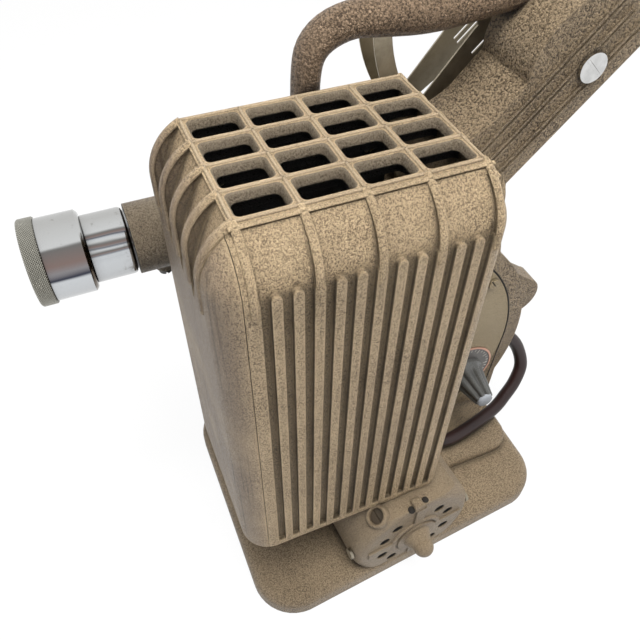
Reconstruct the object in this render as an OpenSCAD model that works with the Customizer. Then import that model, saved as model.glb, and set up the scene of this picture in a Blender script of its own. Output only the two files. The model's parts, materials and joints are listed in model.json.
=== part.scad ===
// Sixteen-millimetre film projector with a ribbed lamp house.
// X runs across the machine, towards the lamp house. The lens points along -Y. Z is up.
// The origin is the centre of the base's underside.

/* [Base] */
// Width of the base casting at its front
base_w = 172; // [168:1:190]
// Depth of the base casting, along the lens axis
base_d = 216; // [212:1:240]
// Narrowing of each side of the base towards its rear
base_taper = 12.4; // [0:0.1:14]
// Height of the base casting above its pad
base_h = 14.5; // [12:0.5:20]
// Corner radius of the base in plan
base_corner_r = 28; // [20:1:40]
// Radius of the base's rounded top edge
base_edge_r = 7; // [3:0.5:9]
// Thickness of the felt pad under the base
pad_t = 1.5; // [1:0.5:3]
// Height of the platform that carries the body
platform_h = 8; // [6:0.5:12]

/* [Body] */
// Distance from the base's middle to the far face of the main frame
body_offset = 45; // [42:1:48]
// Thickness of the main frame, the far half of the body
frame_t = 15; // [14:0.5:18]
// Thickness of the body housing, the near half of the body
housing_t = 24; // [22:1:30]
// Drop from the lamp house's grid to the flat top of the body
frame_drop = 32; // [26:1:38]
// Radius of the housing's round rear
disc_r = 111; // [108:1:114]
// Width of the housing's rim round its cover plate
cover_margin = 10.5; // [9:0.5:15]
// Height of the housing's centre above the platform
disc_rise = 83; // [78:1:88]

/* [Arm] */
// Slope of the upper arm
arm_angle = 47; // [44:1:50]
// Width of the upper arm
arm_w = 39.5; // [36:0.5:46]
// Length of the arm beyond its cap screw
arm_reach = 48; // [44:1:60]
// Diameter of the chrome cap screw
cap_d = 14.7; // [12:0.1:18]
// Radius of the take-up arm's round end
takeup_arm_r = 17; // [15:0.5:20]

/* [Handle] */
// Thickness of the handle, across the machine
handle_w = 15.5; // [13:0.5:18]
// Height of the grip above the body's flat top
handle_rise = 53; // [50:1:60]
// Distance from the lamp axis back to the handle's front leg
handle_setback = 9.7; // [6:0.1:14]

/* [Lamp house] */
// Pitch of the grid across the machine
grid_pitch_x = 17.2; // [16:0.1:19]
// Pitch of the grid along the lens axis
grid_pitch_y = 25; // [24:0.5:27]
// Height of the lamp house
house_h = 222; // [210:1:240]
// Width of the grid's bars and of the ribs that run on from them
bar_w = 3; // [2.5:0.1:4]
// Distance from the grid to the ribbed face
side_bulge = 19; // [17:0.5:22]
// Distance from the grid to the front face
front_bulge = 15; // [13:0.5:18]
// Distance from the grid to the rear face
rear_bulge = 8; // [7:0.5:14]
// Radius of the lamp house's rounded top edges
edge_r = 25; // [24:0.5:28]
// Radius of the lamp house's upright front corner
corner_r = 16; // [13:0.5:17]
// Height of the ribs on the ribbed face
rib_h = 2.5; // [1.5:0.1:3.2]
// Width of the ribs on the ribbed face
rib_w = 4.2; // [3.4:0.1:5]
// Length of the scooped panels on the front and rear faces
scoop_h = 50; // [44:1:80]

/* [Lens] */
// Diameter of the knurled focus ring
ring_d = 44.8; // [43:0.1:48]
// Width of the knurled focus ring
ring_w = 8; // [6:0.5:10]
// Diameter of the front barrel
front_d = 42.5; // [40:0.1:43]
// Length of the front barrel
front_l = 21; // [16:0.5:26]
// Diameter of the narrow barrel
narrow_d = 35.1; // [34:0.1:38]
// Length of the narrow barrel
narrow_l = 21; // [16:0.5:26]
// Outer diameter of the lens carrier's tube
tube_d = 37; // [35:0.1:39]
// Length of the lens carrier's tube
tube_l = 41; // [36:0.5:46]
// Drop from the grid to the lens axis
lens_drop = 83; // [78:1:88]
// Distance of the lens axis from the main frame
lens_offset = 17; // [16:0.5:19]

/* [Reel] */
// Diameter of the film reel
reel_d = 178; // [170:1:182]
// Width of the space between the reel's flanges
reel_space = 16.6; // [16.4:0.1:18]
// Spokes of the reel
reel_spokes = 4; // [3:1:5]
// Width of the reel's rim
rim_w = 9.5; // [7:0.5:12]
// Diameter of the reel's hub
reel_hub_d = 44; // [36:1:50]
// Diameter of the round part of each spindle
spindle_d = 7.9; // [7.4:0.1:8]

/* [Motor] */
// Radius of the motor's end bell
bell_r = 42.5; // [40:0.5:44]
// Height of the bell's crown above the motor shaft
bell_crown = 37.2; // [36:0.1:39]
// Height of the motor shaft above the base plate
motor_rise = 24.5; // [23:0.5:27]
// Distance that the bell stands out from the ribbed face
bell_reach = 11; // [8:0.5:14]
// Diameter of a vent hole in the bell
vent_d = 7.5; // [5:0.1:8]

/* [Drive] */
// Pitch radius of the motor pulley
motor_pulley_r = 8; // [6:0.5:10]
// Pitch radius of the main pulley
main_pulley_r = 24; // [20:0.5:26]
// Module of the gears
gear_module = 1.2; // [1.1:0.05:1.3]
// Pitch radius of a film sprocket
sprocket_r = 7.3; // [6.8:0.1:8]

/* [Controls] */
// Diameter of the dial plate
dial_d = 44.8; // [40:0.1:48]
// Length of the control knob
knob_l = 30; // [24:0.5:36]
// Diameter of the knob's skirt
knob_d = 26; // [22:0.5:30]
// Diameter of the lead between the housing and the motor
lead_d = 9.4; // [7:0.1:11]

/* [Hidden] */

$fn = 64;
// Overrun of a cut beyond the face that it goes through
cut = 1;
// Gap between two pieces that pass each other
gap = 0.3;
// Radial clearance of a running fit
run = 0.05;
// Radius of a small machine screw's shank and of its head, and the head's height
screw_r = 2;
screw_head_r = 3.6;
screw_head_h = 1.8;
slot_w = 0.9;
slot_depth = 0.9;
base_wall = 4;
housing_wall = 3;
bell_turn = 4.2;
ball_r = 6.5;
fan_r = 20;
vent_ring_r = 25.3;
inner_d = 31;
rear_corner_r = 11;
head_r = 34.5;
grid_t = 8.5;
grid_cells = 4;
pinion_teeth = 8;
gear_teeth = 48;
sprocket_teeth = 6;
film_w = 16;
belt_d = 2.4;
shutter_r = 20;
motor_shaft_d = 6;
bell_wall = 3;
flange_t = 0.9;
house_wall = 3;

// Levels
plate_z = pad_t + base_h;
deck_z = plate_z + platform_h;
motor_z = plate_z + motor_rise;
bell_top_z = motor_z + bell_crown;
house_z = bell_top_z + gap;
house_top_z = house_z + house_h;
frame_top_z = house_top_z - frame_drop;
lens_z = house_top_z - lens_drop;
disc_z = deck_z + disc_rise;
housing_foot = 10;
housing_z = deck_z + housing_foot;

// Planes across the machine
far_x = -body_offset;
mid_x = far_x + frame_t;
near_x = mid_x + housing_t;
grid_margin = 5.2;
grid_x0 = mid_x + grid_margin;
grid_x1 = grid_x0 + grid_cells * grid_pitch_x;
side_x = grid_x1 + side_bulge;
lens_x = far_x - lens_offset;
bell_x = side_x + bell_reach;
lamp_x = 9;
platform_far_x = -74;
platform_near_x = 32;

// Places along the machine
lamp_y = -45;
motor_y = -7;
grid_y0 = lamp_y - grid_cells * grid_pitch_y / 2;
grid_y1 = lamp_y + grid_cells * grid_pitch_y / 2;
front_y = grid_y0 - front_bulge;
rear_y = grid_y1 + rear_bulge;
frame_setback = 14;
frame_front_y = front_y + frame_setback;
housing_y = rear_y + gap;
disc_y = -3;
cover_r = disc_r - cover_margin;
tail_inset = 8;
tail_y = disc_y + disc_r - tail_inset;
tail_h = 41;

// The upper arm is drawn from its cap screw, along the arm and across it
cap_y = 96;
cap_rise = 28.3;
cap_z = frame_top_z + cap_rise;
cap_edge = 16;
arm_root = 95;
arm_lip = arm_w - cap_edge;
function arm_point(along, across) = [cap_y + along * cos(arm_angle) - across * sin(arm_angle),
  cap_z + along * sin(arm_angle) + across * cos(arm_angle)];
supply_along = 12.3;
supply_across = 14.9;
supply = arm_point(supply_along, supply_across);
takeup_back = 124.5;
takeup = [takeup_back, disc_z];
function disc_point(angle, r) = [disc_y + r * cos(angle), disc_z + r * sin(angle)];

// The drive
pinion_r = gear_module * pinion_teeth / 2;
gear_r = gear_module * gear_teeth / 2;
tooth_h = 1.7 * gear_module;
gear_w = 5;
gear_recess = 11;
gear_cover_t = 2;
main_back = 63;
main_y = lamp_y + main_back;
helix_r = 6.5;
shutter_drop = 14;
shutter_out = 4;
shutter_z = lens_z - shutter_drop;
shutter_x = lens_x - shutter_out;
main_z = shutter_z - 2 * helix_r;
upper_z = main_z + pinion_r + gear_r;
lower_z = main_z - pinion_r - gear_r;
drive_shaft_r = 3;
pulley_w = 3;
pulley_lip = 2;
belt_x = far_x - gear_cover_t - gap - pulley_w / 2;
belt_step = 3.4;
takeup_belt_x = belt_x - belt_step;
lower_pulley_r = 6;
takeup_pulley_r = 9;

// The optics
gate_offset = 29;
gate_y = lamp_y - gate_offset;
gate_t = 1.5;
film_gap = 0.5;
pressure_t = 1.8;
carrier_t = 4.5;
carrier_y = gate_y - gate_t - film_gap - pressure_t;
tube_y = carrier_y - carrier_t - tube_l;
lens_shoulder = 1;

// Two-dimensional helpers: x0, y0, x1, y1 with radii at low-low, high-low, high-high, low-high
module block_2d(x0, y0, x1, y1, radii = [0, 0, 0, 0]) {
  corners = [[x0, y0], [x1, y0], [x1, y1], [x0, y1]];
  inward = [[1, 1], [-1, 1], [-1, -1], [1, -1]];
  difference() {
    translate([x0, y0])
      square([x1 - x0, y1 - y0]);
    for (i = [0:3])
      if (radii[i] > 0)
        translate(corners[i] + inward[i] * (radii[i] / 2))
          square(radii[i], center = true);
  }
  for (i = [0:3])
    if (radii[i] > 0)
      intersection() {
        translate(corners[i] + inward[i] * radii[i])
          circle(radii[i]);
        translate([x0, y0])
          square([x1 - x0, y1 - y0]);
      }
}

// An outline drawn in Y and Z, extruded along X
module across_x(x0, t) {
  translate([x0, 0, 0])
    rotate([90, 0, 90])
      linear_extrude(t)
        children();
}

// An outline drawn in X and Z, extruded along Y
module along_y(y0, t) {
  translate([0, y0 + t, 0])
    rotate([90, 0, 0])
      linear_extrude(t)
        children();
}

// Stands its children on a plane across X, their z axis towards +X
module on_x(x, at) {
  translate([x, at[0], at[1]])
    rotate([0, 90, 0])
      children();
}

// A round bar along X, centred on a point in Y and Z
module bar_x(x0, length, at, r) {
  on_x(x0, at)
    cylinder(h = length, r = r);
}

// A round bar along Y, from y0 backwards, centred on a point in X and Z
module bar_y(y0, length, at, r) {
  translate([at[0], y0, at[1]])
    rotate([-90, 0, 0])
      cylinder(h = length, r = r);
}

// A window along Y through a wall of thickness t
module window_y(y0, t) {
  along_y(y0 - cut, t + 2 * cut)
    children();
}

// An upright cylinder from z0
module post(z0, h, r) {
  translate([0, 0, z0])
    cylinder(h = h, r = r);
}

module block(from, size) {
  translate(from)
    cube(size);
}

// A hole along X through a wall of thickness t
module hole_x(x0, t, at, r) {
  bar_x(x0 - cut, t + 2 * cut, at, r);
}

// A hole along Y through a wall of thickness t
module hole_y(y0, t, at, r) {
  bar_y(y0 - cut, t + 2 * cut, at, r);
}

// A slotted cheese-head screw standing on z = 0, its shank going down
module slotted_screw(length, r = screw_r, head_r = screw_head_r, head_h = screw_head_h) {
  difference() {
    union() {
      cylinder(h = head_h, r = head_r);
      post(-length, length + cut, r);
    }
    block([-head_r - cut, -slot_w / 2, head_h - slot_depth],
      [2 * (head_r + cut), slot_w, slot_depth + cut]);
  }
}

// Spline through hand-placed points, and a tube swept along it
function blend4(a, b, c, d, t) = 0.5 * (2 * b + (c - a) * t + (2 * a - 5 * b + 4 * c - d) * t * t
  + (3 * b - a - 3 * c + d) * t * t * t);
function spline(p, steps) = [for (i = [0:len(p) - 2], k = [0:steps - 1])
  blend4(p[max(i - 1, 0)], p[i], p[i + 1], p[min(i + 2, len(p) - 1)], k / steps), p[len(p) - 1]];
function unit(v) = v / norm(v);
function heading(p, i) = unit(p[min(i + 1, len(p) - 1)] - p[max(i - 1, 0)]);

// Each station holds x, y, z, the half width across X and the half height in the bend's plane
module swept_bar(stations, sides) {
  middle = [for (s = stations) [s[0], s[1], s[2]]];
  rings = [for (i = [0:len(stations) - 1])
    let (t = heading(middle, i), side = unit(cross(cross(t, [1, 0, 0]), t)),
      lift = cross(t, side))
    [for (k = [0:sides - 1]) middle[i] + side * (stations[i][3] * cos(360 * k / sides))
      + lift * (stations[i][4] * sin(360 * k / sides))]];
  points = [for (ring = rings, p = ring) p];
  last = (len(stations) - 1) * sides;
  quads = [for (i = [0:len(stations) - 2], k = [0:sides - 1])
    let (a = i * sides + k, b = i * sides + (k + 1) % sides)
    each [[a, b, b + sides], [a, b + sides, a + sides]]];
  polyhedron(points, concat([[for (k = [sides - 1:-1:0]) k]], quads,
    [[for (k = [0:sides - 1]) last + k]]));
}

// Base
// A slab with a rounded top edge, stretched over discs at the given places
module domed_slab(places, h, r, edge) {
  hull()
    for (p = places)
      translate([p[0], p[1], 0])
        rotate_extrude($fn = 40) {
          square([r - edge, h]);
          square([r, h - edge]);
          translate([r - edge, h - edge])
            intersection() {
              circle(edge, $fn = 24);
              square(edge);
            }
        }
}

base_mid = [-6, -1];
base_places = [for (sx = [-1, 1], sy = [-1, 1]) base_mid
  + [sx * (base_w / 2 - base_corner_r - (sy + 1) / 2 * base_taper), sy * (base_d / 2 - base_corner_r)]];

module base_plan(inset) {
  hull()
    for (p = base_places)
      translate(p)
        circle(base_corner_r - inset, $fn = 40);
}

base_post_r = 8;
platform_edge = 4;
platform_y0 = -95;
platform_y1 = 102;
platform_corner_r = 16;
platform_places = [for (x = [platform_far_x + platform_corner_r, platform_near_x - platform_corner_r],
  y = [platform_y0 + platform_corner_r, platform_y1 - platform_corner_r]) [x, y]];
bay_margin = 2;
base_screw_y = [-78, 62];
base_screw_sink = 4;

module base_post_places() {
  for (y = base_screw_y)
    translate([far_x + frame_t / 2, y, 0])
      children();
}

module base() {
  bay_r = housing_drum_r + bay_margin;
  color("tan")
    difference() {
      translate([0, 0, pad_t]) {
        difference() {
          domed_slab(base_places, base_h, base_corner_r, base_edge_r);
          translate([0, 0, -cut])
            linear_extrude(base_h - base_wall + cut)
              difference() {
                base_plan(2 * base_wall);
                base_post_places()
                  circle(base_post_r);
              }
        }
        difference() {
          translate([0, 0, base_h - platform_edge])
            domed_slab(platform_places, platform_h + platform_edge, platform_corner_r,
              platform_edge);
          block([mid_x, motor_y - bay_r, base_h], [2 * bay_r, 2 * bay_r, 2 * platform_h]);
        }
      }
      base_post_places() {
        post(-cut, deck_z + 2 * cut, screw_r + gap / 2);
        post(-cut, pad_t + base_screw_sink + cut, screw_head_r + gap / 2);
      }
    }
}

module base_pad() {
  color("dimgray")
    linear_extrude(pad_t)
      difference() {
        base_plan(base_wall);
        base_post_places()
          circle(screw_head_r + gap);
      }
}

base_screw_bite = 7;

module base_screws() {
  color("silver")
    base_post_places()
      translate([0, 0, pad_t + base_screw_sink])
        rotate([180, 0, 0])
          slotted_screw(deck_z - pad_t - base_screw_sink + base_screw_bite);
}

// Outlines of the body in Y and Z
module arm_outline() {
  translate([cap_y, cap_z])
    rotate(arm_angle) {
      translate([-arm_root, -cap_edge])
        square([arm_root + arm_reach - arm_w / 2, arm_w]);
      translate([arm_reach - arm_w / 2, arm_w / 2 - cap_edge])
        circle(arm_w / 2);
      intersection() {
        circle(head_r);
        translate([-head_r, 0])
          square([2 * head_r, head_r]);
      }
    }
}

neck_r = 40;

// Fillet between the flat top of the body and the arm's upper edge
module neck_fillet() {
  along = (frame_top_z - cap_z - arm_lip * cos(arm_angle)) / sin(arm_angle);
  corner = arm_point(along, arm_lip);
  reach = neck_r * tan(arm_angle / 2);
  difference() {
    polygon([corner + [0, -arm_lip], corner - [reach, arm_lip], corner - [reach, 0],
      arm_point(along + reach, arm_lip), arm_point(along + reach, 0)]);
    translate(corner + [-reach, neck_r])
      circle(neck_r, $fn = 120);
  }
}

arm_meet = 64;
disc_meet_angle = 46;
tail_corner_r = 6;

module rear_outline() {
  arm_outline();
  neck_fillet();
  intersection() {
    translate([disc_y, disc_z])
      circle(disc_r, $fn = 160);
    translate([disc_y, housing_z])
      square([2 * disc_r, 2 * disc_r]);
  }
  polygon([arm_point(-arm_meet, -cap_edge), disc_point(disc_meet_angle, disc_r), [disc_y, disc_z],
    arm_point(-arm_root, arm_lip)]);
  block_2d(disc_y, housing_z, tail_y, housing_z + tail_h, [0, tail_corner_r, 0, 0]);
}

frame_corner_r = 18;
frame_rear_y = 78;

module takeup_arm_outline() {
  slope = 49;
  tangent_up = takeup + takeup_arm_r * [sin(slope), cos(slope)];
  tangent_down = takeup + takeup_arm_r * [sin(slope) - 1, -cos(slope / 2)];
  shoulder = disc_point(disc_meet_angle - takeup_arm_r, disc_r - takeup_arm_r / 2);
  translate(takeup)
    circle(takeup_arm_r);
  polygon([tangent_up, shoulder, [disc_y, disc_z], disc_point(-takeup_arm_r, disc_r / 2),
    disc_point(-takeup_arm_r, disc_r - takeup_arm_r / 2), tangent_down, takeup]);
}

module frame_outline() {
  rear_outline();
  takeup_arm_outline();
  neck_y = arm_point(-arm_root, arm_lip)[0];
  block_2d(frame_front_y, deck_z, neck_y + frame_corner_r, frame_top_z, [0, 0, 0, frame_corner_r]);
  block_2d(frame_front_y, deck_z, frame_rear_y, disc_z);
}

module gear_recess_outline(margin) {
  for (z = [upper_z, lower_z])
    translate([main_y, z])
      circle(gear_r + gear_module + margin);
  block_2d(main_y - gear_r / 2 - margin, lower_z, main_y + gear_r / 2 + margin, upper_z);
}

condenser_r = 17;
cap_shank_r = 3;
spindle_r = spindle_d / 2;
house_screw_places = [for (y = [grid_y0 + grid_pitch_y / 2, grid_y1 - grid_pitch_y / 2],
  z = [house_z + grid_pitch_y, lens_z + 2 * grid_pitch_y]) [y, z]];
house_screw_l = 8;
cover_screw_angles = [75, 35, -38];
cover_screw_inset = 5;
cover_screw_l = 8;
inlet_z = housing_z + tail_h / 2;

module main_frame() {
  color("tan")
    difference() {
      across_x(far_x, frame_t)
        frame_outline();
      across_x(far_x - cut, gear_recess + cut)
        gear_recess_outline(gap);
      for (z = [upper_z, main_z, lower_z])
        bar_x(far_x, frame_t + cut, [main_y, z], drive_shaft_r + run);
      hole_x(far_x, frame_t, [lamp_y, lens_z], condenser_r + run);
      hole_x(far_x, frame_t, [motor_y, motor_z], motor_shaft_d / 2 + run);
      bar_y(frame_front_y - cut, gate_y - frame_front_y, [lens_x, lens_z], tube_r + gap);
      hole_x(far_x, frame_t, supply, spindle_r + run);
      hole_x(far_x, frame_t, takeup, spindle_r + run);
      bar_x(far_x + frame_t / 2, frame_t, [cap_y, cap_z], cap_shank_r);
      for (p = house_screw_places)
        bar_x(mid_x - house_screw_l + house_wall, house_screw_l, p, screw_r);
      base_post_places()
        post(deck_z - cut, base_screw_bite + cut, screw_r);
    }
}

stripe_w = 1.1;
stripe_h = 0.6;
stripe_shares = [0.18, 0.25, 0.42, 0.49, 0.7, 0.78];
cap_boss_r = cap_d / 2 + stripe_w * 2;
dial_angle = -21.2;
dial_inset = 32.2;
dial = disc_point(dial_angle, disc_r - dial_inset);
knob_shaft_r = 3;
lead_x = -18;
lead_z = 84;
grommet_r = lead_d / 2 + 2;

// Raised stripes along the arm's near face, given as shares of its width from the upper edge
module arm_stripes() {
  translate([near_x - cut, 0, 0])
    rotate([90, 0, 90])
      linear_extrude(stripe_h + cut)
        translate([cap_y, cap_z])
          rotate(arm_angle)
            difference() {
              for (share = stripe_shares)
                translate([-arm_meet, arm_lip - share * arm_w - stripe_w / 2])
                  square([arm_meet + arm_reach - arm_w / 2, stripe_w]);
              circle(cap_boss_r);
            }
}

// The housing's round, with its straight front and foot set in
module housing_round(r, inset) {
  intersection() {
    translate([disc_y, disc_z])
      circle(r, $fn = 160);
    block_2d(housing_y + inset, housing_z + inset, disc_r, disc_z + disc_r);
  }
}

module housing_hollow_outline() {
  housing_round(disc_r - housing_wall * 1.5, housing_wall);
  translate([cap_y, cap_z])
    rotate(arm_angle)
      translate([-arm_meet, housing_wall - cap_edge])
        square([arm_meet - cap_boss_r, arm_w - 2 * housing_wall]);
}

module cover_outline(clearance) {
  housing_round(cover_r - clearance, housing_wall + clearance);
}

inlet_w = 15;
inlet_h = 18;

module body_housing() {
  color("tan") {
    difference() {
      across_x(mid_x, housing_t)
        intersection() {
          rear_outline();
          translate([housing_y, housing_z])
            square(house_top_z + arm_reach);
        }
      across_x(mid_x - cut, housing_t - 2 * housing_wall + cut)
        housing_hollow_outline();
      across_x(near_x - housing_wall - gap, housing_wall + gap + cut)
        cover_outline(0);
      across_x(mid_x, housing_t)
        housing_round(cover_r - 2 * cover_screw_inset, 2 * cover_screw_inset);
      hole_x(mid_x, housing_t, [cap_y, cap_z], cap_shank_r + gap / 2);
      bar_x(mid_x - cut, housing_t / 2, supply, spindle_r + 2 * gap);
      for (angle = cover_screw_angles)
        bar_x(near_x - housing_wall - cover_screw_l, cover_screw_l + cut,
          disc_point(angle, cover_r - cover_screw_inset), screw_r + run);
      bar_y(0, 2 * disc_r, [lead_x, lead_z], grommet_r);
      block([lead_x - inlet_w / 2, tail_y - inlet_l, inlet_z - inlet_h / 2],
        [inlet_w, 2 * inlet_l, inlet_h]);
      drum_room();
    }
    arm_stripes();
  }
}

module housing_cover() {
  color("tan")
    difference() {
      across_x(near_x - housing_wall, housing_wall)
        cover_outline(gap);
      for (angle = cover_screw_angles)
        bar_x(near_x - housing_wall - cut, housing_wall + 2 * cut,
          disc_point(angle, cover_r - cover_screw_inset), screw_r + gap / 2);
      hole_x(near_x - housing_wall, housing_wall, dial,
        knob_shaft_r + 2 * gap);
      drum_room();
    }
}

// Room for the fan's round housing, beside the body
module drum_room() {
  hole_x(mid_x, housing_t, [motor_y, motor_z], housing_drum_r + gap);
}

module cover_screws() {
  color("silver")
    for (angle = cover_screw_angles)
      let (p = disc_point(angle, cover_r - cover_screw_inset))
        translate([near_x, p[0], p[1]])
          rotate([angle, 0, 0])
            rotate([0, 90, 0])
              slotted_screw(cover_screw_l);
}

// Handle: shares of the run from the front leg to the head, and of the rise above the body
handle_y = lamp_y + handle_setback;
handle_run = cap_y - handle_y;
handle_shares = [[0, 0, 0.43], [0, 0.36, 0.42], [0.005, 0.66, 0.42], [0.025, 0.84, 0.45],
  [0.08, 0.96, 0.49], [0.17, 1.02, 0.51], [0.3, 1.01, 0.6], [0.42, 0.995, 0.65],
  [0.53, 0.99, 0.63], [0.63, 1, 0.58], [0.73, 1.02, 0.55], [0.85, 1.03, 0.52]];
handle_steps = 3;

module carrying_handle() {
  half_w = handle_w * 0.52;
  marks = [for (s = handle_shares) [mid_x - gap - half_w, handle_y + s[0] * handle_run,
    frame_top_z + s[1] * handle_rise, half_w, handle_w * s[2]]];
  places = spline(marks, handle_steps);
  color("saddlebrown")
    difference() {
      swept_bar(places, 20);
      bar_x(far_x - frame_t, 3 * frame_t, [cap_y, cap_z], head_r);
      block([far_x - frame_t, handle_y - handle_run, frame_top_z - arm_lip],
        [3 * frame_t, 2 * handle_run, arm_lip]);
    }
}

cap_head_h = 3;
cap_slot_w = 1.4;
cap_bite = 6;

module arm_cap_screw() {
  color("silver")
    on_x(near_x, [cap_y, cap_z])
      difference() {
        union() {
          intersection() {
            cylinder(h = cap_head_h, r = cap_d / 2);
            translate([0, 0, cap_head_h - 2 * cap_d])
              sphere(2 * cap_d);
          }
          post(-housing_t - cap_bite, housing_t + cap_bite + cut, cap_shank_r);
        }
        rotate(arm_angle)
          block([-cap_d, -cap_slot_w / 2, cap_head_h - slot_w], [2 * cap_d, cap_slot_w, cap_d]);
      }
}

// Lamp house. Each side is drawn as a shoulder: level to the grid's edge, then one arc down to a face

module shoulder(x_in, x_grid, x_face, r) {
  arc_z = house_top_z - sqrt(r * r - pow(r - x_face + x_grid, 2));
  block_2d(x_in, house_z, x_face, arc_z);
  intersection() {
    union() {
      translate([x_face - r, arc_z])
        circle(r, $fn = 240);
      if (x_face - r > x_in)
        block_2d(x_in, house_z, x_face - r, house_top_z);
    }
    block_2d(x_in, house_z, x_face, house_top_z);
  }
}

// The large arc of a scooped panel, which drops by scoop_h over the given bulge
function scoop_r(bulge) = (bulge * bulge + scoop_h * scoop_h) / (2 * bulge);

module end_outline(front_r, rear_r) {
  shoulder(lamp_y, grid_y1, rear_y, rear_r);
  mirror([1, 0])
    shoulder(-lamp_y, -grid_y0, -front_y, front_r);
}

// One upright corner, turned about its own axis so that it is round at the top as well
module house_corner(bulge, y, r) {
  translate([grid_x1 + bulge - r, y, 0])
    rotate_extrude()
      intersection() {
        translate([r - grid_x1 - bulge, 0])
          shoulder(mid_x, grid_x1, grid_x1 + bulge, edge_r);
        square([r, house_top_z]);
      }
}

far_edge_r = 8;

module house_block(bulge, scooped) {
  face_x = grid_x1 + bulge;
  intersection() {
    along_y(front_y, rear_y - front_y) {
      shoulder(grid_x0, grid_x1, face_x, edge_r);
      mirror([1, 0])
        shoulder(-grid_x1, bar_w / 2 - grid_x0, -mid_x, far_edge_r);
    }
    across_x(mid_x, side_x - mid_x)
      if (scooped)
        end_outline(scoop_r(front_bulge), scoop_r(rear_bulge));
      else
        end_outline(edge_r, edge_r);
    union() {
      block([mid_x, front_y, house_z], [face_x - corner_r - mid_x, rear_y - front_y, house_h]);
      block([mid_x, front_y + corner_r, house_z],
        [face_x - mid_x, rear_y - rear_corner_r - front_y - corner_r, house_h]);
      house_corner(bulge, front_y + corner_r, corner_r);
      house_corner(bulge, rear_y - rear_corner_r, rear_corner_r);
      block([mid_x, lamp_y, house_z], [face_x - rear_corner_r - mid_x, rear_y - lamp_y, house_h]);
    }
  }
}

rib_pitch = grid_pitch_y / 3;
rib_count = 3 * grid_cells;
rib_top_z = house_top_z - edge_r + cut;
rib_foot_h = 4;

// Ribs on the ribbed face, with a round tip on each rib that starts below the edge
module face_ribs() {
  for (i = [0:rib_count])
    let (y = grid_y0 + i * rib_pitch) {
      block([side_x - rib_h - cut, y - rib_w / 2, house_z],
        [rib_h + cut, rib_w, rib_top_z - house_z]);
      bar_x(side_x - rib_h - cut, rib_h + cut, [y, rib_top_z], rib_w / 2);
    }
  block([side_x - rib_h - cut, grid_y0, house_z], [rib_h + cut, grid_y1 - grid_y0, rib_foot_h]);
}

module grid_bars() {
  for (i = [0:grid_cells])
    block([grid_x0 + i * grid_pitch_x - bar_w / 2, front_y, house_z],
      [bar_w, rear_y - front_y, house_h]);
  for (i = [0:grid_cells])
    block([mid_x, grid_y0 + i * grid_pitch_y - bar_w / 2, house_z],
      [side_x - mid_x, bar_w, house_h]);
}

module house_solid() {
  house_block(side_bulge - rib_h, true);
  intersection() {
    house_block(side_bulge, false);
    union() {
      grid_bars();
      face_ribs();
      for (span = [[front_y, front_bulge], [grid_y1, rear_bulge]])
        block([grid_x1 - bar_w / 2, span[0], house_z], [side_bulge + bar_w, span[1], house_h]);
    }
  }
}

slot_corner_r = 2.5;
cavity_drop = 45;

module house_cavity() {
  low_z = house_z - cut;
  skin = rib_h + house_wall;
  inside_y0 = front_y + 2 * house_wall;
  inside_y1 = rear_y - 2 * house_wall;
  translate([0, 0, low_z])
    linear_extrude(house_h - cavity_drop)
      block_2d(mid_x + house_wall, inside_y0, side_x - skin, inside_y1,
        [0, corner_r - skin, rear_corner_r - skin, 0]);
  translate([0, 0, low_z])
    linear_extrude(house_h - grid_t + cut)
      block_2d(mid_x + house_wall, grid_y0 + bar_w / 2, grid_x1 - bar_w / 2,
        grid_y1 - bar_w / 2);
}

module grid_slots() {
  for (i = [0:grid_cells - 1], j = [0:grid_cells - 1])
    let (x = grid_x0 + i * grid_pitch_x + bar_w / 2, y = grid_y0 + j * grid_pitch_y + bar_w / 2)
      translate([0, 0, house_top_z - grid_t - cut])
        linear_extrude(grid_t + 2 * cut)
          block_2d(x, y, x + grid_pitch_x - bar_w, y + grid_pitch_y - bar_w,
            slot_corner_r * [1, 1, 1, 1]);
}

seam_in = 4;

// The space of the cover, which comes off towards +X
module cover_zone(clearance) {
  block([grid_x1 + bar_w / 2 + clearance, grid_y0 - seam_in + clearance, house_z - cut],
    [side_x, grid_y1 - grid_y0 + 2 * seam_in - 2 * clearance, house_h + 2 * cut]);
}

module lamp_house_shell() {
  color("tan")
    difference() {
      house_solid();
      house_cavity();
      grid_slots();
      cover_zone(0);
      hole_x(mid_x, house_wall, [lamp_y, lens_z], condenser_r + gap);
      for (p = house_screw_places)
        hole_x(mid_x, house_wall, p, screw_r + gap / 2);
      for (y = lamp_bolt_y)
        hole_x(mid_x, house_wall, [y, bracket_z + bracket_lip / 2], screw_r);
    }
}

module ribbed_cover() {
  color("tan")
    intersection() {
      difference() {
        house_solid();
        house_cavity();
      }
      cover_zone(gap);
    }
}

module house_screws() {
  color("silver")
    for (p = house_screw_places)
      on_x(mid_x + house_wall, p)
        slotted_screw(house_screw_l);
}

// Lamp and optics
bulb_r = 16;
bulb_h = 90;
bulb_wall = 1;
lamp_base_r = 12;
lamp_base_h = 22;
filament_drop = 46;
bulb_z = lens_z - filament_drop;
socket_r = 17;
socket_h = 26;
socket_z = bulb_z - lamp_base_h - cut;
bracket_t = 3;
bracket_z = socket_z - bracket_t;
bracket_lip = 16;
bracket_w = 44;
lamp_bolt_y = [lamp_y - grid_pitch_y / 2, lamp_y + grid_pitch_y / 2];

module bulb_form(inset) {
  rotate_extrude() {
    square([bulb_r - inset, bulb_h - bulb_r]);
    translate([0, bulb_h - bulb_r])
      intersection() {
        circle(bulb_r - inset);
        square(bulb_r);
      }
  }
}

module lamp_bulb() {
  color("lightcyan", 0.4)
    translate([lamp_x, lamp_y, bulb_z])
      difference() {
        bulb_form(0);
        translate([0, 0, bulb_wall])
          bulb_form(bulb_wall);
        post(-cut, 2 * cut + bulb_wall, lamp_base_r / 2);
      }
}

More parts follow.
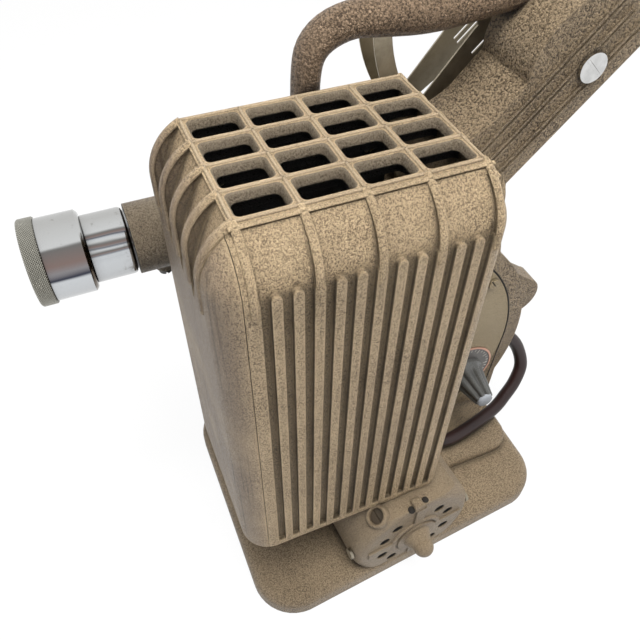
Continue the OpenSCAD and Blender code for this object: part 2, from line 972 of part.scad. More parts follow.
filament_w = 8;
filament_h = 9;
wire_r = 0.5;
filament_bars = 4;

module lamp_base() {
  color("goldenrod")
    translate([lamp_x, lamp_y, bulb_z - lamp_base_h])
      cylinder(h = lamp_base_h, r = lamp_base_r);
  color("gray")
    translate([lamp_x, lamp_y, bulb_z]) {
      cylinder(h = filament_drop / 3, r = lamp_base_r / 3);
      for (s = [-1, 1])
        translate([0, s * filament_w / 2, 0])
          cylinder(h = filament_drop + filament_h / 2, r = wire_r);
      for (i = [0:filament_bars - 1])
        bar_y(-filament_w / 2, filament_w,
          [0, filament_drop + (i / filament_bars - 0.5) * filament_h], wire_r);
    }
}

module lamp_socket() {
  color("dimgray")
    translate([lamp_x, lamp_y, socket_z])
      difference() {
        cylinder(h = socket_h - cut, r = socket_r);
        post(cut, socket_h, lamp_base_r + gap);
        post(cut + lamp_base_h, socket_h, bulb_r + gap);
      }
}

reflector_r = 32;
reflector_cup = 20;
reflector_t = 1.2;
reflector_back = 27;
stalk_w = 10;
stalk_t = 2;

module lamp_bracket() {
  reach = lamp_x + reflector_back + stalk_t - mid_x - house_wall;
  color("silver")
    difference() {
      translate([mid_x + house_wall, lamp_y - bracket_w / 2, bracket_z]) {
        cube([reach, bracket_w, bracket_t]);
        cube([bracket_t, bracket_w, bracket_lip]);
      }
      for (y = lamp_bolt_y)
        bar_x(mid_x, bracket_t + house_wall + cut, [y, bracket_z + bracket_lip / 2], screw_r);
    }
}

module reflector() {
  base_x = lamp_x + reflector_back;
  color("gainsboro") {
    translate([base_x, lamp_y, lens_z])
      rotate([0, -90, 0])
        rotate_extrude()
          difference() {
            square([reflector_cup, reflector_t + reflector_cup / 3]);
            translate([0, reflector_t + reflector_r])
              circle(reflector_r, $fn = 120);
          }
    block([base_x - reflector_t / 2, lamp_y - stalk_w / 2, bracket_z + bracket_t],
      [stalk_t, stalk_w, lens_z - bracket_z - bracket_t]);
  }
}

barrel_out = 6;
barrel_in = 14;
condenser_wall = 2;
lens_bulge_r = 24;
lens_t = 6;

module condenser_barrel() {
  color("silver")
    difference() {
      bar_x(far_x - barrel_out / 2, frame_t + barrel_in + barrel_out / 2, [lamp_y, lens_z], condenser_r);
      bar_x(far_x - barrel_out, frame_t + barrel_in + 2 * barrel_out, [lamp_y, lens_z],
        condenser_r - condenser_wall);
    }
}

// A plano-convex lens standing on z = 0, its flat side down
module convex_lens(r, t, bulge_r) {
  rotate_extrude()
    intersection() {
      translate([0, t - bulge_r])
        circle(bulge_r, $fn = 120);
      square([r, t]);
    }
}

module condenser_lenses() {
  color("lightblue", 0.5)
    for (i = [0, 1])
      on_x(far_x + frame_t / 4 + i * frame_t, [lamp_y, lens_z])
        convex_lens(condenser_r - condenser_wall, lens_t, lens_bulge_r);
}

mirror_w = 22;
mirror_t = 2;
box_wall = 2.5;
box_out_x = shutter_x - shutter_r - 1.5 * box_wall;
box_in_x = far_x;
box_rear_y = lamp_y + mirror_w * 0.7;
box_low_z = shutter_z - shutter_r - 2 * box_wall;
box_top_z = lens_z + mirror_w;
box_cover_t = 2;
aperture_w = 10.3;
aperture_h = 7.5;
claw_w = 4;
claw_stroke = 7.6;

module light_mirror() {
  color("white")
    translate([lens_x, lamp_y, lens_z])
      rotate([0, 0, 45])
        block([-mirror_w / 2, 0, -mirror_w / 2 + cut], [mirror_w, mirror_t, mirror_w - 2 * cut]);
}

// A rectangle round the lens axis, in X and Z
module axis_block(half_w, down, up) {
  block_2d(lens_x - half_w, lens_z - down, lens_x + half_w, lens_z + up);
}

// Cast box on the frame's far side, which holds the mirror, shutter and claw
module mechanism_housing() {
  color("tan") {
    difference() {
      along_y(gate_y, box_rear_y - gate_y)
        block_2d(box_out_x, box_low_z, box_in_x, box_top_z);
      along_y(gate_y + box_wall, box_rear_y - gate_y - 2 * box_wall)
        block_2d(box_out_x - cut, box_low_z + box_wall, box_in_x - box_wall,
          box_top_z - box_wall);
      bar_x(box_in_x - 2 * box_wall, 2 * box_wall + cut, [lamp_y, lens_z], condenser_r + gap);
      block([box_in_x - box_wall - cut, shutter_y - shutter_t, shutter_z - shutter_r / 2],
        [box_wall + 2 * cut, 3 * shutter_t, shutter_r]);
      window_y(gate_y, box_wall)
        axis_block(aperture_w, aperture_h, aperture_h);
      claw_slot(gate_y - cut, box_wall + 2 * cut);
      hole_y(box_rear_y - box_wall, box_wall, [shutter_x, shutter_z],
        shutter_shaft_r + run);
      for (p = rod_places)
        hole_y(gate_y, box_wall, p, rod_r);
    }
    mirror_block();
  }
}

// Wedge behind the mirror, one with the box
module mirror_block() {
  seat = mirror_w / 2 * sin(45);
  translate([0, 0, lens_z - mirror_w / 2 + cut])
    linear_extrude(box_top_z - box_wall / 2 - lens_z + mirror_w / 2 - cut)
      polygon([[lens_x - seat - mirror_t, lamp_y - seat + mirror_t * 0.45],
        [lens_x + seat - mirror_t, lamp_y + seat + mirror_t * 0.45],
        [lens_x + seat - mirror_t, box_rear_y - box_wall / 2],
        [lens_x - seat - mirror_t, box_rear_y - box_wall / 2]]);
}

claw_x = lens_x + aperture_w / 2 + claw_w / 2;
claw_z = lens_z - 2 * aperture_h;

module claw_slot(y0, t) {
  along_y(y0, t)
    block_2d(claw_x - claw_w / 2 - gap, claw_z - claw_stroke - claw_w / 2, claw_x + claw_w / 2 + gap,
      claw_z + claw_w / 2 + gap);
}

module mechanism_cover() {
  color("tan") {
    difference() {
      along_y(gate_y, box_rear_y - gate_y)
        block_2d(box_out_x - box_cover_t, box_low_z, box_out_x, box_top_z);
      for (p = box_screw_places)
        hole_x(box_out_x - box_cover_t, box_cover_t, p, screw_r);
    }
    for (p = box_screw_places)
      translate([box_out_x - box_cover_t, p[0], p[1]])
        rotate([0, -90, 0])
          slotted_screw(box_cover_t);
  }
}

box_screw_places = [[gate_y + 2 * box_wall, box_low_z + 2 * box_wall],
  [box_rear_y - 2 * box_wall, box_top_z - 2 * box_wall]];

shutter_t = 1;
shutter_y = gate_y + 4 * box_wall + 1.5;
shutter_shaft_r = 2.5;
blade_cut = 55;
bracket_wall = 5;
helix_w = 8;
helix_grooves = 10;

module shutter_disc() {
  color("dimgray")
    difference() {
      bar_y(shutter_y, shutter_t, [shutter_x, shutter_z], shutter_r);
      hole_y(shutter_y, shutter_t, [shutter_x, shutter_z], shutter_shaft_r);
      for (side = [0, 1])
        translate([shutter_x, shutter_y - cut, shutter_z])
          rotate([-90, side * 180 + 20, 0])
            linear_extrude(shutter_t + 2 * cut)
              intersection() {
                difference() {
                  circle(shutter_r - cut);
                  circle(shutter_shaft_r * 2);
                }
                polygon([[0, 0], [shutter_r * 2, 0],
                  [shutter_r * 2 * cos(blade_cut), shutter_r * 2 * sin(blade_cut)]]);
              }
    }
}

// Grooved wheel of a crossed pair, its grooves cut inwards from the rim
module helix_wheel(r) {
  difference() {
    cylinder(h = helix_w, r = r - gap / 2, center = true);
    for (i = [0:helix_grooves - 1])
      rotate(i * 360 / helix_grooves)
        translate([r, 0, 0])
          rotate([45, 0, 0])
            cube([slot_w, slot_w, 2 * helix_w], center = true);
  }
}

module shutter_shaft() {
  rear = main_y + helix_w / 2 + bracket_wall + gap;
  color("silver") {
    bar_y(shutter_y - 2 * shutter_t, rear - shutter_y + 2 * shutter_t, [shutter_x, shutter_z],
      shutter_shaft_r);
    translate([shutter_x, main_y, shutter_z])
      rotate([-90, 0, 0])
        helix_wheel(helix_r);
  }
}

// Bearing behind the helical wheels, on an arm that reaches back from the box
module shaft_bracket() {
  y = main_y + helix_w / 2 + gap;
  half = shutter_shaft_r * 2;
  arm_x = shutter_x - helix_r - cut;
  color("tan")
    difference() {
      union() {
        along_y(box_rear_y, y - box_rear_y + cut)
          block_2d(arm_x - bracket_wall, shutter_z - half, arm_x, shutter_z + half);
        along_y(y, bracket_wall) {
          block_2d(arm_x - bracket_wall, shutter_z - half, shutter_x, shutter_z + half);
          translate([shutter_x, shutter_z])
            circle(half);
        }
      }
      hole_y(y, bracket_wall, [shutter_x, shutter_z], shutter_shaft_r + run);
    }
}

claw_t = 2;
claw_h = 20;

module claw() {
  y = gate_y + box_wall + gap;
  color("silver") {
    along_y(y, claw_t)
      block_2d(claw_x - claw_w, claw_z - claw_stroke / 4, claw_x + claw_w, claw_z + claw_h / 2);
    along_y(gate_y - gate_t - film_gap / 2, gate_t + film_gap / 2 + box_wall + gap + cut / 2)
      block_2d(claw_x - claw_w / 4, claw_z - claw_w / 4, claw_x + claw_w / 4,
        claw_z + claw_w / 4);
  }
}

gate_w = 22;
gate_up = 36;
gate_down = 34;

module gate_plate() {
  color("silver")
    difference() {
      along_y(gate_y - gate_t, gate_t)
        axis_block(gate_w / 2, gate_down, gate_up);
      window_y(gate_y - gate_t, gate_t)
        axis_block(aperture_w / 2, aperture_h / 2, aperture_h / 2);
      claw_slot(gate_y - gate_t - cut, gate_t + 2 * cut);
      for (p = rod_places)
        hole_y(gate_y - gate_t, gate_t, p, rod_r + run);
    }
}

pressure_w = 18;
pressure_h = 44;

module pressure_plate() {
  color("silver")
    difference() {
      along_y(carrier_y, pressure_t)
        axis_block(pressure_w / 2, pressure_h / 2, pressure_h / 2);
      window_y(carrier_y, pressure_t)
        axis_block(aperture_w * 0.7, aperture_h, aperture_h);
      claw_slot(carrier_y - cut, pressure_t + 2 * cut);
    }
}

rod_r = 2.5;
rod_l = 26;
rod_side = 15.5;
rod_high = 15;
rod_low = 29;
rod_near = 12;
rod_places = [[lens_x + rod_near, lens_z - rod_low], [lens_x - rod_side, lens_z + rod_high]];
ear_r = 5;
carrier_low = 24;

module guide_rods() {
  color("silver")
    for (p = rod_places)
      bar_y(gate_y - rod_l, rod_l + box_wall, p, rod_r);
}

tube_r = tube_d / 2;
bore_r = inner_d / 2 + run;
lock_y = tube_y + tube_l / 3;
lock_boss_r = 5;
lock_boss_h = 5;
lock_r = 2;

module lens_carrier() {
  color("tan")
    difference() {
      union() {
        along_y(carrier_y - carrier_t, carrier_t) {
          block_2d(lens_x - tube_r, lens_z - carrier_low, lens_x + 0.8 * tube_r,
            lens_z + tube_r, [lock_boss_r, lock_boss_r, lock_boss_r, lock_boss_r]);
          for (p = rod_places) {
            translate(p)
              circle(ear_r);
            polygon([p - [ear_r, 0], p + [ear_r, 0], [lens_x, lens_z]]);
          }
        }
        bar_y(tube_y, tube_l + cut, [lens_x, lens_z], tube_r);
        translate([lens_x, lock_y, lens_z - tube_r - lock_boss_h])
          cylinder(h = tube_r / 2 + lock_boss_h, r = lock_boss_r);
      }
      bar_y(tube_y - cut, tube_l + carrier_t + 3 * cut, [lens_x, lens_z], bore_r);
      for (p = rod_places)
        hole_y(carrier_y - carrier_t, carrier_t, p, rod_r + run);
      translate([lens_x, lock_y, lens_z - tube_r - lock_boss_h - cut])
        cylinder(h = tube_r + lock_boss_h, r = lock_r + run);
    }
}

narrow_y = tube_y - lens_shoulder - narrow_l;
front_barrel_y = narrow_y - front_l;
ring_y = front_barrel_y - ring_w;
inner_l = 34;
glass_r = 13.2;
glass_t = 5;
front_glass_r = 16;
rim_t = 2;
barrel_chamfer = 1.2;

// The barrel's profile turns about the lens axis, from its front end backwards
module lens_barrel() {
  inner_r = inner_d / 2;
  color("silver")
    translate([lens_x, front_barrel_y, lens_z])
      rotate([-90, 0, 0])
        difference() {
          rotate_extrude()
            polygon([[0, 0], [front_d / 2, 0], [front_d / 2, front_l - barrel_chamfer],
              [front_d / 2 - barrel_chamfer, front_l], [narrow_d / 2, front_l],
              [narrow_d / 2, front_l + narrow_l], [inner_r, front_l + narrow_l],
              [inner_r, front_l + narrow_l + lens_shoulder + inner_l],
              [0, front_l + narrow_l + lens_shoulder + inner_l]]);
          post(-cut, front_l + narrow_l + inner_l + 4 * cut, glass_r);
          post(-cut, glass_t + 2 * cut, front_glass_r + gap);
        }
}

knurls = 60;
knurl_depth = 0.5;

module lens_ring() {
  color("silver")
    along_y(ring_y, ring_w)
      translate([lens_x, lens_z])
        difference() {
          union() {
            circle(ring_d / 2 - knurl_depth);
            for (i = [0:knurls - 1])
              rotate(i * 360 / knurls)
                translate([ring_d / 2 - knurl_depth - cut / 2, -knurl_depth])
                  square([knurl_depth + cut / 2, 2 * knurl_depth]);
          }
          circle(front_glass_r + rim_t);
        }
}

module lens_glass() {
  color("lightblue", 0.5) {
    translate([lens_x, front_barrel_y + glass_t, lens_z])
      rotate([90, 0, 0])
        convex_lens(front_glass_r, glass_t, 1.5 * lens_bulge_r);
    bar_y(tube_y + inner_l - 3 * glass_t, glass_t, [lens_x, lens_z], glass_r);
  }
}

lock_head_r = 3.6;
lock_head_h = 3;

module lens_lock_screw() {
  color("dimgray")
    translate([lens_x, lock_y, lens_z - tube_r - lock_boss_h - gap])
      rotate([180, 0, 0])
        slotted_screw(lock_boss_h + tube_r - bore_r - gap, lock_r, lock_head_r, lock_head_h);
}

// Spindles and reel
reel_gap = 7.6;
reel_near_x = far_x - reel_gap;
reel_far_x = reel_near_x - 2 * flange_t - reel_space;
collar_r = 12;
collar_t = 3;
latch_w = 2;
latch_h = 6;
latch_l = 8.5;
latch_inset = 2.2;

// The shaft's slotted tip carries its latch on a pin along Y at pivot_x
module spindle(at, collar_x, pivot_x) {
  tip_x = pivot_x - latch_inset;
  difference() {
    union() {
      bar_x(tip_x, mid_x - gap - tip_x, at, spindle_r);
      bar_x(collar_x, collar_t, at, collar_r);
    }
    block([tip_x - cut, at[0] - latch_w / 2 - gap, at[1] - spindle_d],
      [cut + latch_inset + latch_h / 2 + gap, latch_w + 2 * gap, 2 * spindle_d]);
  }
  bar_y(at[0] - spindle_r + gap, spindle_d - 2 * gap, [pivot_x, at[1]], wire_r);
}

// Flip latch. Unturned it lies along the spindle, so that a reel can pass over it.
module latch(at, pivot_x, turn) {
  tail_l = latch_l - latch_h / 2;
  along_y(at[0] - latch_w / 2, latch_w)
    translate([pivot_x, at[1]])
      rotate(turn)
        difference() {
          union() {
            circle(latch_h / 2);
            translate([-tail_l, -latch_h / 2])
              square([tail_l, latch_h]);
          }
          circle(wire_r + run);
        }
}

latch_back = 2 * gap + latch_h / 2;
supply_pivot_x = reel_far_x - latch_back;

module supply_spindle() {
  color("silver")
    spindle(supply, reel_near_x + gap / 2, supply_pivot_x);
}

module supply_latch() {
  color("silver")
    latch(supply, supply_pivot_x, 90);
}

window_inner_r = 34;
spoke_wide = 23;
spoke_narrow = 10.5;
slot_long = 16;
slot_wide = 1.3;
slot_apart = 3.6;
spoke_angle = 223.6;

module flange_outline() {
  outer = reel_d / 2;
  inner = outer - rim_w;
  difference() {
    circle(outer, $fn = 160);
    difference() {
      circle(inner, $fn = 160);
      circle(window_inner_r, $fn = 96);
      for (i = [0:reel_spokes - 1])
        rotate(spoke_angle + i * 360 / reel_spokes)
          polygon([[0, -spoke_wide / 2], [window_inner_r, -spoke_wide / 2],
            [inner + cut, -spoke_narrow / 2], [inner + cut, spoke_narrow / 2],
            [window_inner_r, spoke_wide / 2], [0, spoke_wide / 2]]);
    }
    for (i = [0:reel_spokes - 1], s = [-1, 1])
      rotate(spoke_angle + i * 360 / reel_spokes)
        translate([window_inner_r - slot_long / 2, s * slot_apart / 2 - slot_wide / 2])
          square([slot_long, slot_wide]);
    circle(spindle_r + run);
  }
}

module supply_reel() {
  color("gray") {
    for (x = [reel_near_x - flange_t, reel_far_x])
      across_x(x, flange_t)
        translate(supply)
          flange_outline();
    difference() {
      bar_x(reel_far_x + flange_t / 2, reel_space + flange_t, supply, reel_hub_d / 2);
      bar_x(reel_far_x, reel_space + 2 * flange_t, supply, reel_hub_d / 2 - 2 * flange_t);
    }
  }
}

takeup_collar_x = takeup_belt_x - pulley_w / 2 - collar_t;
takeup_pivot_x = takeup_collar_x - gap / 2 - reel_space - 2 * flange_t - latch_back;

// A grooved pulley for a round belt
module pulley(x, at, r) {
  on_x(x, at)
    rotate_extrude()
      difference() {
        translate([0, -pulley_w / 2])
          square([r + pulley_lip, pulley_w]);
        translate([r + belt_d / 2 + gap, 0])
          circle(belt_d / 2 + gap, $fn = 24);
        translate([r + belt_d / 2 + gap, -belt_d / 2 - gap])
          square([pulley_lip + belt_d, belt_d + 2 * gap]);
      }
}

module takeup_spindle() {
  color("silver") {
    spindle(takeup, takeup_collar_x, takeup_pivot_x);
    pulley(takeup_belt_x, takeup, takeup_pulley_r);
  }
}

module takeup_latch() {
  color("silver")
    latch(takeup, takeup_pivot_x, 0);
}

// A belt round two pulleys, built from a wide band and a thick one, each between two outlines
module belt(x, a, ra, b, rb) {
  for (band = [[1, 0.3], [0.5, 0]])
    across_x(x - belt_d * band[0] / 2, belt_d * band[0])
      for (inset = [gap + band[1] * belt_d])
        difference() {
          belt_outline(a, ra + belt_d + 2 * gap - inset, b, rb + belt_d + 2 * gap - inset);
          belt_outline(a, ra + inset, b, rb + inset);
        }
}

module belt_outline(a, ra, b, rb) {
  hull() {
    translate(a)
      circle(ra);
    translate(b)
      circle(rb);
  }
}

module takeup_belt() {
  color("saddlebrown")
    belt(takeup_belt_x, [main_y, lower_z], lower_pulley_r, takeup, takeup_pulley_r);
}

module drive_belt() {
  color("saddlebrown")
    belt(belt_x, [motor_y, motor_z], motor_pulley_r, [main_y, main_z], main_pulley_r);
}

// Motor: everything round it is cut flat where it meets the base or the platform
bell_round = 8;
crown_r = 70;
bell_back_x = platform_near_x + gap;
spigot_l = 6;
turn_x = 60;
side_screw_x = 67;
hub_boss_r = 14;
hub_boss_h = 2;
arm_rib_w = 7;
vent_pair_turn = 15;
vent_pair_lift = 38;
vent_angles = [for (side = [0, 180], s = [-1, 1], t = [-1, 1])
  side + s * vent_pair_lift + t * vent_pair_turn];
ball_reach = 10;
square_boss_w = 7;
square_boss_rise = 31;

// Places of the screws in the bell's two sides, their z axis outwards
module bell_screw_places() {
  for (s = [-1, 1])
    translate([side_screw_x, motor_y + s * bell_r, motor_z])
      rotate([-s * 90, 0, 0])
        children();
}

// Everything cast into the bell is turned about the motor's upright middle line
module bell_turned() {
  translate([turn_x, motor_y, 0])
    rotate([0, 0, bell_turn])
      translate([-turn_x, -motor_y, 0])
        children();
}

module bell_round_form(r, x0, x1, edge) {
  on_x(x0, [motor_y, motor_z])
    rotate_extrude($fn = 96) {
      square([r, x1 - x0 - edge]);
      square([r - edge, x1 - x0]);
      translate([r - edge, x1 - x0 - edge])
        circle(edge);
    }
}

// Everything between a floor and the low crown that clears the lamp house
module motor_slice(low_z, x0, x1, inset = 0) {
  intersection() {
    block([x0, motor_y - 2 * bell_r, low_z], [x1 - x0, 4 * bell_r, bell_top_z - inset - low_z]);
    bar_x(x0, x1 - x0, [motor_y, bell_top_z - crown_r], crown_r - inset);
  }
}

module bell_casting() {
  intersection() {
    union() {
      bell_round_form(bell_r, bell_back_x - spigot_l, bell_x, bell_round);
      bar_x(bell_x - cut, hub_boss_h + cut, [motor_y, motor_z], hub_boss_r);
      for (i = [0:3])
        translate([bell_x - cut, motor_y, motor_z])
          rotate([i * 90, 0, 0])
            block([0, -arm_rib_w / 2, 0], [hub_boss_h / 2 + cut, arm_rib_w, bell_r - bell_round]);
    }
    motor_slice(plate_z, bell_back_x - spigot_l, bell_x + hub_boss_h);
  }
  on_x(bell_x, [motor_y, motor_z])
    cylinder(h = ball_reach, r1 = hub_boss_r - arm_rib_w / 2, r2 = ball_r * 0.9);
  translate([bell_x + ball_reach, motor_y, motor_z])
    sphere(ball_r);
  block([bell_x - square_boss_w, motor_y - square_boss_w / 2, motor_z],
    [square_boss_w - cut, square_boss_w, square_boss_rise]);
  brush_boss();
}

module motor_end_bell() {
  color("tan")
    difference() {
      bell_turned()
        bell_casting();
      block([bell_back_x - bell_r, motor_y - bell_r, plate_z - cut],
        [bell_r, 2 * bell_r, 2 * bell_r]);
      bell_turned() {
        intersection() {
          bell_round_form(bell_r - bell_wall, bell_back_x - spigot_l, bell_x - bell_wall,
            bell_round - bell_wall);
          motor_slice(plate_z + bell_wall, bell_back_x - 2 * spigot_l, bell_x, bell_wall);
        }
        for (angle = vent_angles)
          hole_x(bell_x - 2 * bell_wall, 3 * bell_wall,
            [motor_y + vent_ring_r * cos(angle), motor_z + vent_ring_r * sin(angle)], vent_d / 2);
        at_brush(0)
          cylinder(h = 2 * bell_r, r = brush_r);
        at_brush(bell_r - brush_cap_h)
          cylinder(h = bell_r, r = brush_cap_r + gap);
        bell_screw_places()
          post(-2 * bell_wall, 3 * bell_wall, screw_r);
      }
      bar_x(bell_back_x, bell_x - bell_back_x + hub_boss_h, [motor_y, motor_z],
        motor_shaft_d / 2 + run);
    }
}

brush_x = 66;
brush_angle = 38;
brush_r = 3;
brush_cap_r = 4.5;
brush_cap_h = 1.8;
brush_boss_r = 7;
brush_boss_h = 1.5;

module at_brush(out) {
  translate([brush_x, motor_y, motor_z])
    rotate([brush_angle, 0, 0])
      translate([0, 0, out])
        children();
}

module brush_boss() {
  intersection() {
    at_brush(bell_r - 2 * bell_wall)
      cylinder(h = 2 * bell_wall + brush_boss_h, r = brush_boss_r);
    block([brush_x - bell_r, motor_y - bell_r, plate_z],
      [2 * bell_r, 2 * bell_r, bell_top_z - plate_z]);
  }
}

module brush_cap() {
  color("dimgray")
    bell_turned()
      at_brush(bell_r - brush_cap_h + gap / 2)
        slotted_screw(bell_wall, brush_r - run, brush_cap_r, brush_cap_h);
}

module bell_screws() {
  color("silver")
    bell_turned()
      bell_screw_places()
        slotted_screw(bell_wall);
}

housing_drum_r = 37.5;
drum_wall = 3;
fan_house_x = -2;

module motor_housing() {
  color("tan")
    difference() {
      intersection() {
        bar_x(fan_house_x, platform_near_x - fan_house_x, [motor_y, motor_z], housing_drum_r);
        motor_slice(plate_z, fan_house_x, platform_near_x);
      }
      intersection() {
        hole_x(fan_house_x, platform_near_x - fan_house_x, [motor_y, motor_z],
          housing_drum_r - drum_wall);
        motor_slice(plate_z + drum_wall, fan_house_x - cut, platform_near_x + cut);
      }
      bar_y(motor_y, bell_r, [lead_in_x, lead_in_z], grommet_r - gap);
    }
}

lead_in_x = 12;
lead_in_z = deck_z + 12;
fan_eye_r = 14;
duct_w = 40;

module fan_housing() {
  color("tan")
    difference() {
      intersection() {
        bar_x(mid_x, fan_house_x - gap - mid_x, [motor_y, motor_z], housing_drum_r);
        motor_slice(plate_z, mid_x, fan_house_x);
      }
      intersection() {
        bar_x(mid_x - cut, fan_house_x - mid_x - drum_wall + cut, [motor_y, motor_z],
          housing_drum_r - drum_wall);
        motor_slice(plate_z + drum_wall, mid_x - cut, fan_house_x);
      }
      bar_x(mid_x, 2 * frame_t * 2, [motor_y, motor_z], fan_eye_r);
      block([mid_x + drum_wall, motor_y - duct_w, motor_z + drum_wall],
        [fan_house_x - mid_x - 3 * drum_wall, duct_w, bell_r]);
    }
}

stator_l = 26;
stator_x = bell_back_x + bell_wall;
stator_r = bell_r - 2 * bell_wall;
rotor_r = 13;
rotor_gap = 0.5;

module motor_stator() {
  color("dimgray")
    difference() {
      intersection() {
        bar_x(stator_x, stator_l, [motor_y, motor_z], stator_r);
        motor_slice(plate_z + bell_wall + gap, stator_x, stator_x + stator_l,
          bell_wall + 3 * gap);
        block([stator_x, motor_y - rotor_r - 2 * bell_wall, plate_z],
          [stator_l, 2 * (rotor_r + 2 * bell_wall), bell_top_z]);
      }
      hole_x(stator_x, stator_l, [motor_y, motor_z], rotor_r + rotor_gap);
    }
}

armature_slots = 12;
commutator_r = 9;
commutator_l = 6;

module motor_armature() {
  color("silver") {
    bar_x(motor_pulley_end_x, bell_x + hub_boss_h - gap - motor_pulley_end_x, [motor_y, motor_z],
      motor_shaft_d / 2);
    across_x(stator_x + cut, stator_l - 2 * cut)
      translate([motor_y, motor_z])
        difference() {
          circle(rotor_r);
          for (i = [0:armature_slots - 1])
            rotate(i * 360 / armature_slots)
              translate([rotor_r - 2 * slot_w, -slot_w / 2])
                square([3 * slot_w, slot_w]);
        }
    bar_x(stator_x + stator_l + cut, commutator_l, [motor_y, motor_z], commutator_r);
  }
}

motor_pulley_end_x = belt_x - pulley_w / 2 - cut;
fan_blades = 8;
fan_hub_r = 9;
blade_t = 1.5;
fan_l = 16;

module cooling_fan() {
  fan_x = mid_x + 2 * drum_wall;
  color("silver")
    difference() {
      union() {
        bar_x(fan_x, blade_t, [motor_y, motor_z], fan_r);
        bar_x(fan_x, fan_l, [motor_y, motor_z], fan_hub_r);
        for (i = [0:fan_blades - 1])
          translate([fan_x, motor_y, motor_z])
            rotate([i * 360 / fan_blades, 0, 0])
              block([0, fan_hub_r - cut, -blade_t / 2],
                [fan_l, fan_r - fan_hub_r + cut / 2, blade_t]);
      }
      hole_x(fan_x, fan_l, [motor_y, motor_z], motor_shaft_d / 2);
    }
}

module motor_pulley() {
  color("silver")
    difference() {
      pulley(belt_x, [motor_y, motor_z], motor_pulley_r);
      bar_x(belt_x - pulley_w, 2 * pulley_w, [motor_y, motor_z], motor_shaft_d / 2);
    }
}

// Gears: straight-sided teeth, thin enough to pass each other with play
module gear_outline(teeth, pitch_r, turn) {
  root = pitch_r - tooth_h * 0.55;
  tip = pitch_r + tooth_h * 0.42;
  half = gear_module * 0.62;
  circle(root);
  for (i = [0:teeth - 1])
    rotate(turn + i * 360 / teeth)
      polygon([[root - cut, -half], [root, -half], [tip, -half * 0.55], [tip, half * 0.55],
        [root, half], [root - cut, half]]);
}

gear_x = far_x + gear_recess - gear_w - cut;

module main_shaft() {
  at = [main_y, main_z];
  color("silver") {
    bar_x(shutter_x - helix_w / 2 - cut, mid_x - gap - shutter_x + helix_w / 2 + cut, at,
      drive_shaft_r);
    across_x(gear_x - cut / 2, gear_w + cut)
      translate(at)
        gear_outline(pinion_teeth, pinion_r, 180 / pinion_teeth);
    pulley(belt_x, at, main_pulley_r);
    on_x(shutter_x, [main_y, main_z])
      helix_wheel(helix_r);
  }
}

sprocket_flange_r = sprocket_r + 1.5;
sprocket_tooth_h = 1.6;
sprocket_tooth_w = 1.2;
sprocket_x = lens_x - film_w / 2;
edge_w = 3;

module sprocket(z, turn) {
  at = [main_y, z];
  bar_x(sprocket_x, mid_x - gap - sprocket_x, at, drive_shaft_r);
  bar_x(sprocket_x, film_w, at, sprocket_r - cut);
  for (x = [sprocket_x, sprocket_x + film_w - edge_w])
    bar_x(x, edge_w, at, sprocket_r);
  bar_x(sprocket_x - cut, cut, at, sprocket_flange_r);
  across_x(sprocket_x + edge_w / 2, sprocket_tooth_w)
    translate(at)
      for (i = [0:sprocket_teeth - 1])
        rotate(turn + i * 360 / sprocket_teeth)
          polygon([[sprocket_r - cut, -sprocket_tooth_w], [sprocket_r + sprocket_tooth_h,
            -sprocket_tooth_w / 3], [sprocket_r + sprocket_tooth_h, sprocket_tooth_w / 3],
            [sprocket_r - cut, sprocket_tooth_w]]);
  across_x(gear_x, gear_w)
    translate(at)
      gear_outline(gear_teeth, gear_r, 0);
}

module upper_sprocket() {
  color("silver")
    sprocket(upper_z, 0);
}

module lower_sprocket() {
  color("silver") {
    sprocket(lower_z, 0);
    pulley(takeup_belt_x, [main_y, lower_z], lower_pulley_r);
  }
}

gear_cover_lip = 4;

module gear_cover() {
  color("tan")
    difference() {
      across_x(far_x - gear_cover_t, gear_cover_t)
        gear_recess_outline(gear_cover_lip);
      for (z = [upper_z, main_z, lower_z])
        hole_x(far_x - gear_cover_t, gear_cover_t, [main_y, z],
          drive_shaft_r + run);
    }
}

shoe_t = 2;
shoe_gap = 1.2;
shoe_span = 80;
shoe_turns = [100, -120];
shoe_post_r = 2.5;
shoe_r = sprocket_r + sprocket_tooth_h + shoe_gap;

// Film guards, each an arc round its sprocket on a post in the gear cover
module shoe(z, turn) {
  x0 = lens_x - film_w / 2 + edge_w;
  translate([x0, main_y, z])
    rotate([turn, 0, 0]) {
      rotate([90, 0, 90])
        linear_extrude(film_w - 2 * edge_w)
          intersection() {
            difference() {
              circle(shoe_r + shoe_t);
              circle(shoe_r);
            }
            polygon([[0, 0], [2 * shoe_r, -2 * shoe_r * tan(shoe_span / 2)],
              [2 * shoe_r, 2 * shoe_r * tan(shoe_span / 2)]]);
          }
      on_x(0, [shoe_r + shoe_t / 2 + shoe_post_r / 2, 0])
        cylinder(h = far_x - gear_cover_t - x0, r = shoe_post_r);
    }
}

module sprocket_shoes() {
  color("silver") {
    shoe(upper_z, shoe_turns[0]);
    shoe(lower_z, shoe_turns[1]);
  }
}

// Controls
dial_t = 0.8;
dial_lip = 1.2;
knob_base_h = 4;
knob_tip_d = 13;
flutes = 8;
flute_r = 2;
rheostat_r = 16;
rheostat_t = 8;
rheostat_neck_r = 8;

module dial_plate() {
  color("dimgray")
    difference() {
      bar_x(near_x, dial_t, dial, dial_d / 2);
      bar_x(near_x + dial_t / 2, dial_t, dial, dial_d / 2 - dial_lip);
      hole_x(near_x, dial_t, dial, knob_shaft_r + 2 * gap);
    }
}

